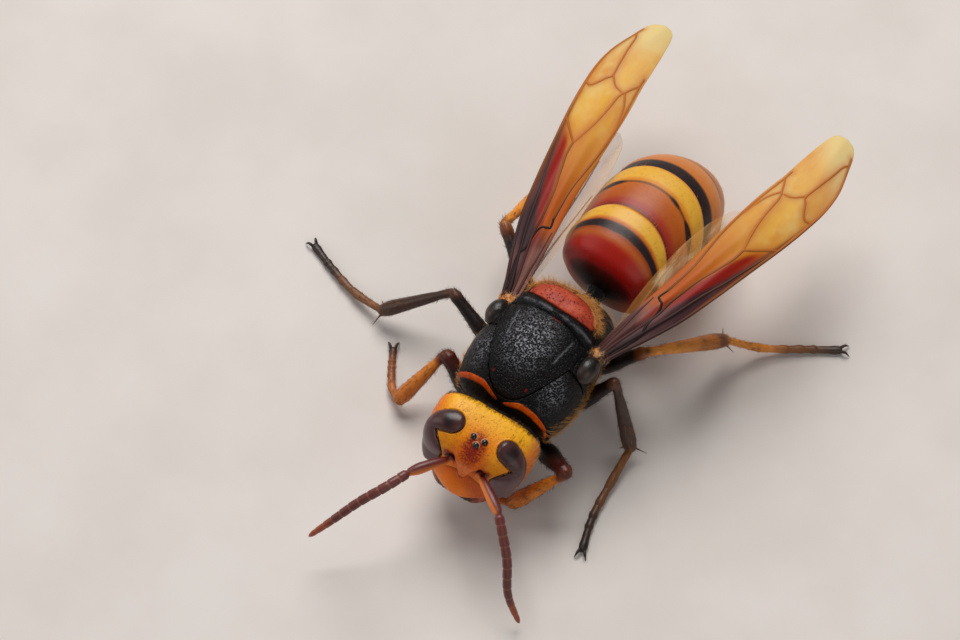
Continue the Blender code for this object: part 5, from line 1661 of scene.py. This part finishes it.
def grow_head_hair(coat):
    """Dark bristles on the crown and the rear rim, fine ones on the cheeks, face and jaws."""
    def skin(count, wanted, lie, length, stand, tone, wide):
        coat.grow("head_skin", count, wanted, lie, length, stand, tone, wide=wide)

    skin(1300, lambda p, n: ease(p[:, 2], 8.2, 9.6) * ease(n[:, 2], 0.2, 0.6),
         (-0.1, -0.4, 0.3), (0.1, 0.2), 0.45, 0.34, 0.32)
    skin(760, lambda p, n: ridge(n[:, 1], 0.6, 0.25) * ease(p[:, 2], 8.6, 9.4),
         (0, 1.0, 0.3), (0.5, 0.8), 0.5, 0.2, 0.45)
    skin(500, lambda p, n: ease(n[:, 1], 0.6, 0.9) * ease(p[:, 2], 5.5, 8.0),
         (0, 0.8, 0.4), (0.4, 0.7), 1.0, 0.15, 0.5)
    skin(500, lambda p, n: ease(np.abs(p[:, 0] - 0.2), 3.9, 4.6) * ease(n[:, 1], -0.3, 0.4),
         REARWARD, (0.25, 0.45), 1.2, 0.8, 0.5)
    skin(900, lambda p, n: ease(-n[:, 1], 0.2, 0.8) * (p[:, 2] < 8.5),
         (0, -0.3, -1), (0.1, 0.2), 0.6, 0.7, 0.45)
    for side in SIDES:
        coat.grow(f"jaw_{side}", 120, lambda p, n: np.ones(len(p)), (0, -0.4, -1), (0.2, 0.4), 1.0, 0.7,
                  wide=0.6)


def grow_thorax_hair(coat):
    """Bristles on the collar and the back, pale fur on the flanks."""
    tile = tile_of(0)
    coat.grow("pronotum_plate", 1300, lambda p, n: ease(-p[:, 1], 6.0, 6.3) * ease(n[:, 2], -0.2, 0.3),
              (0, -0.4, 1.0), (0.35, 0.6), 1.0, 0.1, tile, 0.6)
    coat.grow("pronotum_plate", 900, lambda p, n: ease(np.abs(p[:, 0]), 4.0, 4.9) * (p[:, 2] < 8.8),
              REARWARD, (0.4, 0.75), 1.0, 0.74, tile, 0.7)
    coat.grow("pronotum_plate", 400, lambda p, n: ease(n[:, 2], 0.2, 0.5) * (p[:, 1] > -5.6),
              REARWARD, (0.1, 0.18), 0.5, 0.25, tile, 0.4)
    tile = tile_of(1)
    coat.grow("back_plate", 700, lambda p, n: ease(n[:, 2], 0.4, 0.8) * (p[:, 1] < 1.2) * (p[:, 2] > 9),
              REARWARD, (0.08, 0.16), 0.45, 0.2, tile, 0.4)
    coat.grow("back_plate", 1500, lambda p, n: ease(np.abs(p[:, 0]), 2.5, 4.2) * (p[:, 2] < 9.4),
              (0, 0.6, -0.8), (0.35, 0.65), 0.8, 0.64, tile, 0.45)


def grow_fringe(coat):
    """The golden fringe behind the scutellum, fur behind it and tufts at the wing roots."""
    def away(points):
        return (points - np.array((0, 2.2, 0))) * np.array((1, 1, 0))

    coat.grow("scutellum_plate", 1500,
              lambda p, n: (scutellum_depth(p[:, 0], p[:, 1]) < 0.12) * ease(p[:, 1], 2.9, 3.4)
              * (n[:, 2] > -0.2), away, (1.05, 1.5), 0.3, 0.73, tile_of(0), 0.42)
    coat.grow("back_plate", 500,
              lambda p, n: (p[:, 1] > 3.0) * (np.abs(scutellum_depth(p[:, 0], p[:, 1], 0.06)) < 0.12)
              * (p[:, 2] > 9.5), away, (0.9, 1.4), 0.45, 0.7, tile_of(1), 0.45)
    coat.grow("rear_plate", 500, lambda p, n: (p[:, 2] > 6.0) * 1.0, (0, 1.0, 0.4), (0.5, 1.0), 0.9,
              0.75, tile_of(2), 0.7)
    coat.grow("rear_plate", 70, lambda p, n: (p[:, 2] > 8.0) * 1.0, (0, 0.5, 1.0), (1.1, 1.6), 0.9,
              0.92, tile_of(2), 0.45)
    for side in SIDES:
        coat.grow(f"wing_root_{side}", 160, lambda p, n: ease(n[:, 2], -0.2, 0.3), (0, 0.6, 0.8),
                  (0.3, 0.55), 0.9, 0.8, tile_of(5), 0.6)


def grow_gaster_hair(coat):
    for i in range(RINGS):
        coat.grow(f"tergite_{i + 1}", 500, lambda p, n: ease(-n[:, 2], -0.6, 0.2) * (p[:, 1] > 10.5),
                  REARWARD, (0.3, 0.6), 0.7, 0.7, tile_of(i), 0.5)


def grow_limb_hair(coat, key, tile):
    """Short bristles all along a leg, longer ones on its femur and round its ankle."""
    trochanter, knee, ankle = (np.array(p, float) for p in LEGS[key][:3])
    toe = np.array(LEGS[key][3][-1], float)
    spans = ((trochanter, knee), (knee, ankle), (ankle, toe))

    def outward(points):
        away = np.stack([np.linalg.norm(points - (a + b) / 2, axis=1) for a, b in spans])
        return np.array([unit(b - a) for a, b in spans])[away.argmin(0)]

    def on_femur(p, n):
        reach = np.linalg.norm(knee - trochanter) * 0.6
        return (np.linalg.norm(p - (trochanter + knee) / 2, axis=1) < reach) * 1.0

    def at_ankle(p, n):
        return (np.linalg.norm(p - ankle, axis=1) < 3.5) * (p[:, 2] > 0.6)

    name, tone = f"limb_{key}", 0.5 if "hind" in key else 0.3
    coat.grow(name, 700, lambda p, n: (p[:, 2] > 0.35) * 1.0, outward, (0.15, 0.3), 0.5, tone, tile, 0.5)
    coat.grow(name, 800, on_femur, outward, (0.3, 0.6), 1.0, 0.2, tile, 0.6)
    coat.grow(name, 350, at_ankle, outward, (0.25, 0.45), 0.6, 0.45, tile, 0.6)


def grow_leg_hair(coat):
    for number, key in enumerate(LEGS):
        grow_limb_hair(coat, key, tile_of(number))


def make_hair(sizes, colours):
    """Bristles and fringes of head, thorax, gaster and legs, each coat with its own seed."""
    material = hair_material(colours)
    for seed, (name, slot, grow) in enumerate((
        ("hair_head", "head_shell", grow_head_hair),
        ("hair_thorax", "black_shell", grow_thorax_hair),
        ("hair_fringe", "red_shell", grow_fringe),
        ("hair_gaster", "band", grow_gaster_hair),
        ("hair_legs", "leg", grow_leg_hair),
    ), 11):
        coat = Coat(sizes, seed)
        grow(coat)
        coat.build(name, material, slot)


# The stage.


def camera_axes():
    """The camera's right, up and back directions, in the hornet's frame."""
    a, e, roll = CAMERA_TURN, CAMERA_RISE, CAMERA_ROLL
    back = np.array((math.sin(a) * math.cos(e), -math.cos(a) * math.cos(e), math.sin(e)))
    level = np.array((math.cos(a), math.sin(a), 0.0))
    up = np.cross(level, -back)
    right = math.cos(roll) * level + math.sin(roll) * up
    return right, -math.sin(roll) * level + math.cos(roll) * up, back


def add_lamp(name, place, size, power, colour):
    """A soft square lamp aimed at the hornet."""
    lamp = fresh(name, bpy.ops.object.light_add, type="AREA", location=place)
    lamp.data.size = size
    lamp.data.energy = power
    lamp.data.color = colour
    aim = LAMP_TARGET - Vector(place)
    lamp.rotation_euler = aim.to_track_quat("-Z", "Y").to_euler()


def make_stage(colours):
    """A plain pale floor, soft lamps and the camera at the photo's angle."""
    floor = fresh("floor", bpy.ops.mesh.primitive_plane_add, size=3.0)
    paper = Finish("floor_paper", 0.8, specular=0.2)
    paper.start(colours.floor, paint(218, 210, 204), paper.noise(60.0, 4.0), 0.3, 0.7)
    floor.data.materials.append(paper.done())
    world = bpy.data.worlds.new("studio")
    world.use_nodes = True
    sky = world.node_tree.nodes["Background"].inputs
    sky["Color"].default_value = (0.95, 0.97, 1.0, 1)
    sky["Strength"].default_value = 0.15
    bpy.context.scene.world = world
    for lamp in LAMPS:
        add_lamp(*lamp)
    right, up, back = camera_axes()
    place = CAMERA_TARGET + CAMERA_ASIDE[0] * right + CAMERA_ASIDE[1] * up + CAMERA_DISTANCE * back
    camera = fresh("camera", bpy.ops.object.camera_add)
    turn = Matrix(np.column_stack([right, up, back]).tolist()).to_4x4()
    camera.matrix_world = Matrix.Translation(Vector(to_frame(place))) @ turn
    camera.data.lens = CAMERA_LENS
    camera.data.sensor_width = SENSOR_WIDTH
    camera.data.clip_start = 0.005
    camera.data.clip_end = 20.0
    bpy.context.scene.camera = camera
    bpy.context.scene.view_settings.view_transform = "Standard"


# The add-on.


class HornetPiece:
    """What all operators share: they add their pieces with the scene's sizes and colours"""

    bl_options = {"REGISTER", "UNDO"}

    def execute(self, context):
        self.add(context.scene)
        return {"FINISHED"}


class HORNET_OT_head(HornetPiece, bpy.types.Operator):
    """Adds the head capsule with its eyes, small eyes and jaws"""

    bl_idname = "hornet.head"
    bl_label = "Head"

    def add(self, scene):
        colours = scene.hornet_colours
        make_head(colours)
        make_eyes(colours)
        make_ocelli()
        make_jaws()


class HORNET_OT_feelers(HornetPiece, bpy.types.Operator):
    """Adds the two ringed antennae"""

    bl_idname = "hornet.feelers"
    bl_label = "Feelers"

    def add(self, scene):
        make_feelers(scene.hornet_colours)


class HORNET_OT_thorax(HornetPiece, bpy.types.Operator):
    """Adds the plates of the thorax, the neck, the waist and the wing caps"""

    bl_idname = "hornet.thorax"
    bl_label = "Thorax"

    def add(self, scene):
        colours = scene.hornet_colours
        make_thorax(colours)
        make_sleeves(colours)
        make_wing_caps()
        make_wing_roots()


class HORNET_OT_gaster(HornetPiece, bpy.types.Operator):
    """Adds the six banded rings of the abdomen"""

    bl_idname = "hornet.gaster"
    bl_label = "Gaster"

    def add(self, scene):
        make_gaster(scene.hornet_colours)


class HORNET_OT_wings(HornetPiece, bpy.types.Operator):
    """Adds the four veined wings"""

    bl_idname = "hornet.wings"
    bl_label = "Wings"

    def add(self, scene):
        make_wings(scene.hornet_sizes, scene.hornet_colours)


class HORNET_OT_legs(HornetPiece, bpy.types.Operator):
    """Adds the six legs with their spurs and claws"""

    bl_idname = "hornet.legs"
    bl_label = "Legs"

    def add(self, scene):
        make_legs(scene.hornet_colours)


class HORNET_OT_hair(HornetPiece, bpy.types.Operator):
    """Adds the bristles and fringes on the finished skins"""

    bl_idname = "hornet.hair"
    bl_label = "Hair"

    def add(self, scene):
        make_hair(scene.hornet_sizes, scene.hornet_colours)


class HORNET_OT_stage(HornetPiece, bpy.types.Operator):
    """Adds the floor, the lamps and the camera"""

    bl_idname = "hornet.stage"
    bl_label = "Stage"

    def add(self, scene):
        make_stage(scene.hornet_colours)


OPERATORS = (HORNET_OT_head, HORNET_OT_feelers, HORNET_OT_thorax, HORNET_OT_gaster,
             HORNET_OT_wings, HORNET_OT_legs, HORNET_OT_hair, HORNET_OT_stage)


class HORNET_PT_pieces(bpy.types.Panel):
    """Lists the hornet's pieces, sizes and colours"""

    bl_label = "Hornet"
    bl_space_type = "VIEW_3D"
    bl_region_type = "UI"
    bl_category = "Hornet"

    def draw(self, context):
        column = self.layout.column()
        for operator in OPERATORS:
            column.operator(operator.bl_idname)
        for group in (context.scene.hornet_sizes, context.scene.hornet_colours):
            for name in group.__annotations__:
                column.prop(group, name)


CLASSES = (HornetSizes, HornetColours, *OPERATORS, HORNET_PT_pieces)


def register():
    for made in CLASSES:
        bpy.utils.register_class(made)
    bpy.types.Scene.hornet_sizes = bpy.props.PointerProperty(type=HornetSizes)
    bpy.types.Scene.hornet_colours = bpy.props.PointerProperty(type=HornetColours)


def unregister():
    del bpy.types.Scene.hornet_colours
    del bpy.types.Scene.hornet_sizes
    for made in reversed(CLASSES):
        bpy.utils.unregister_class(made)


def main():
    register()
    for old in ("Cube", "Light", "Camera"):
        if old in bpy.data.objects:
            bpy.data.objects.remove(bpy.data.objects[old], do_unlink=True)
    bpy.ops.hornet.head()
    bpy.ops.hornet.feelers()
    bpy.ops.hornet.thorax()
    bpy.ops.hornet.gaster()
    bpy.ops.hornet.wings()
    bpy.ops.hornet.legs()
    bpy.ops.hornet.hair()
    bpy.ops.hornet.stage()


if __name__ == "__main__":
    main()
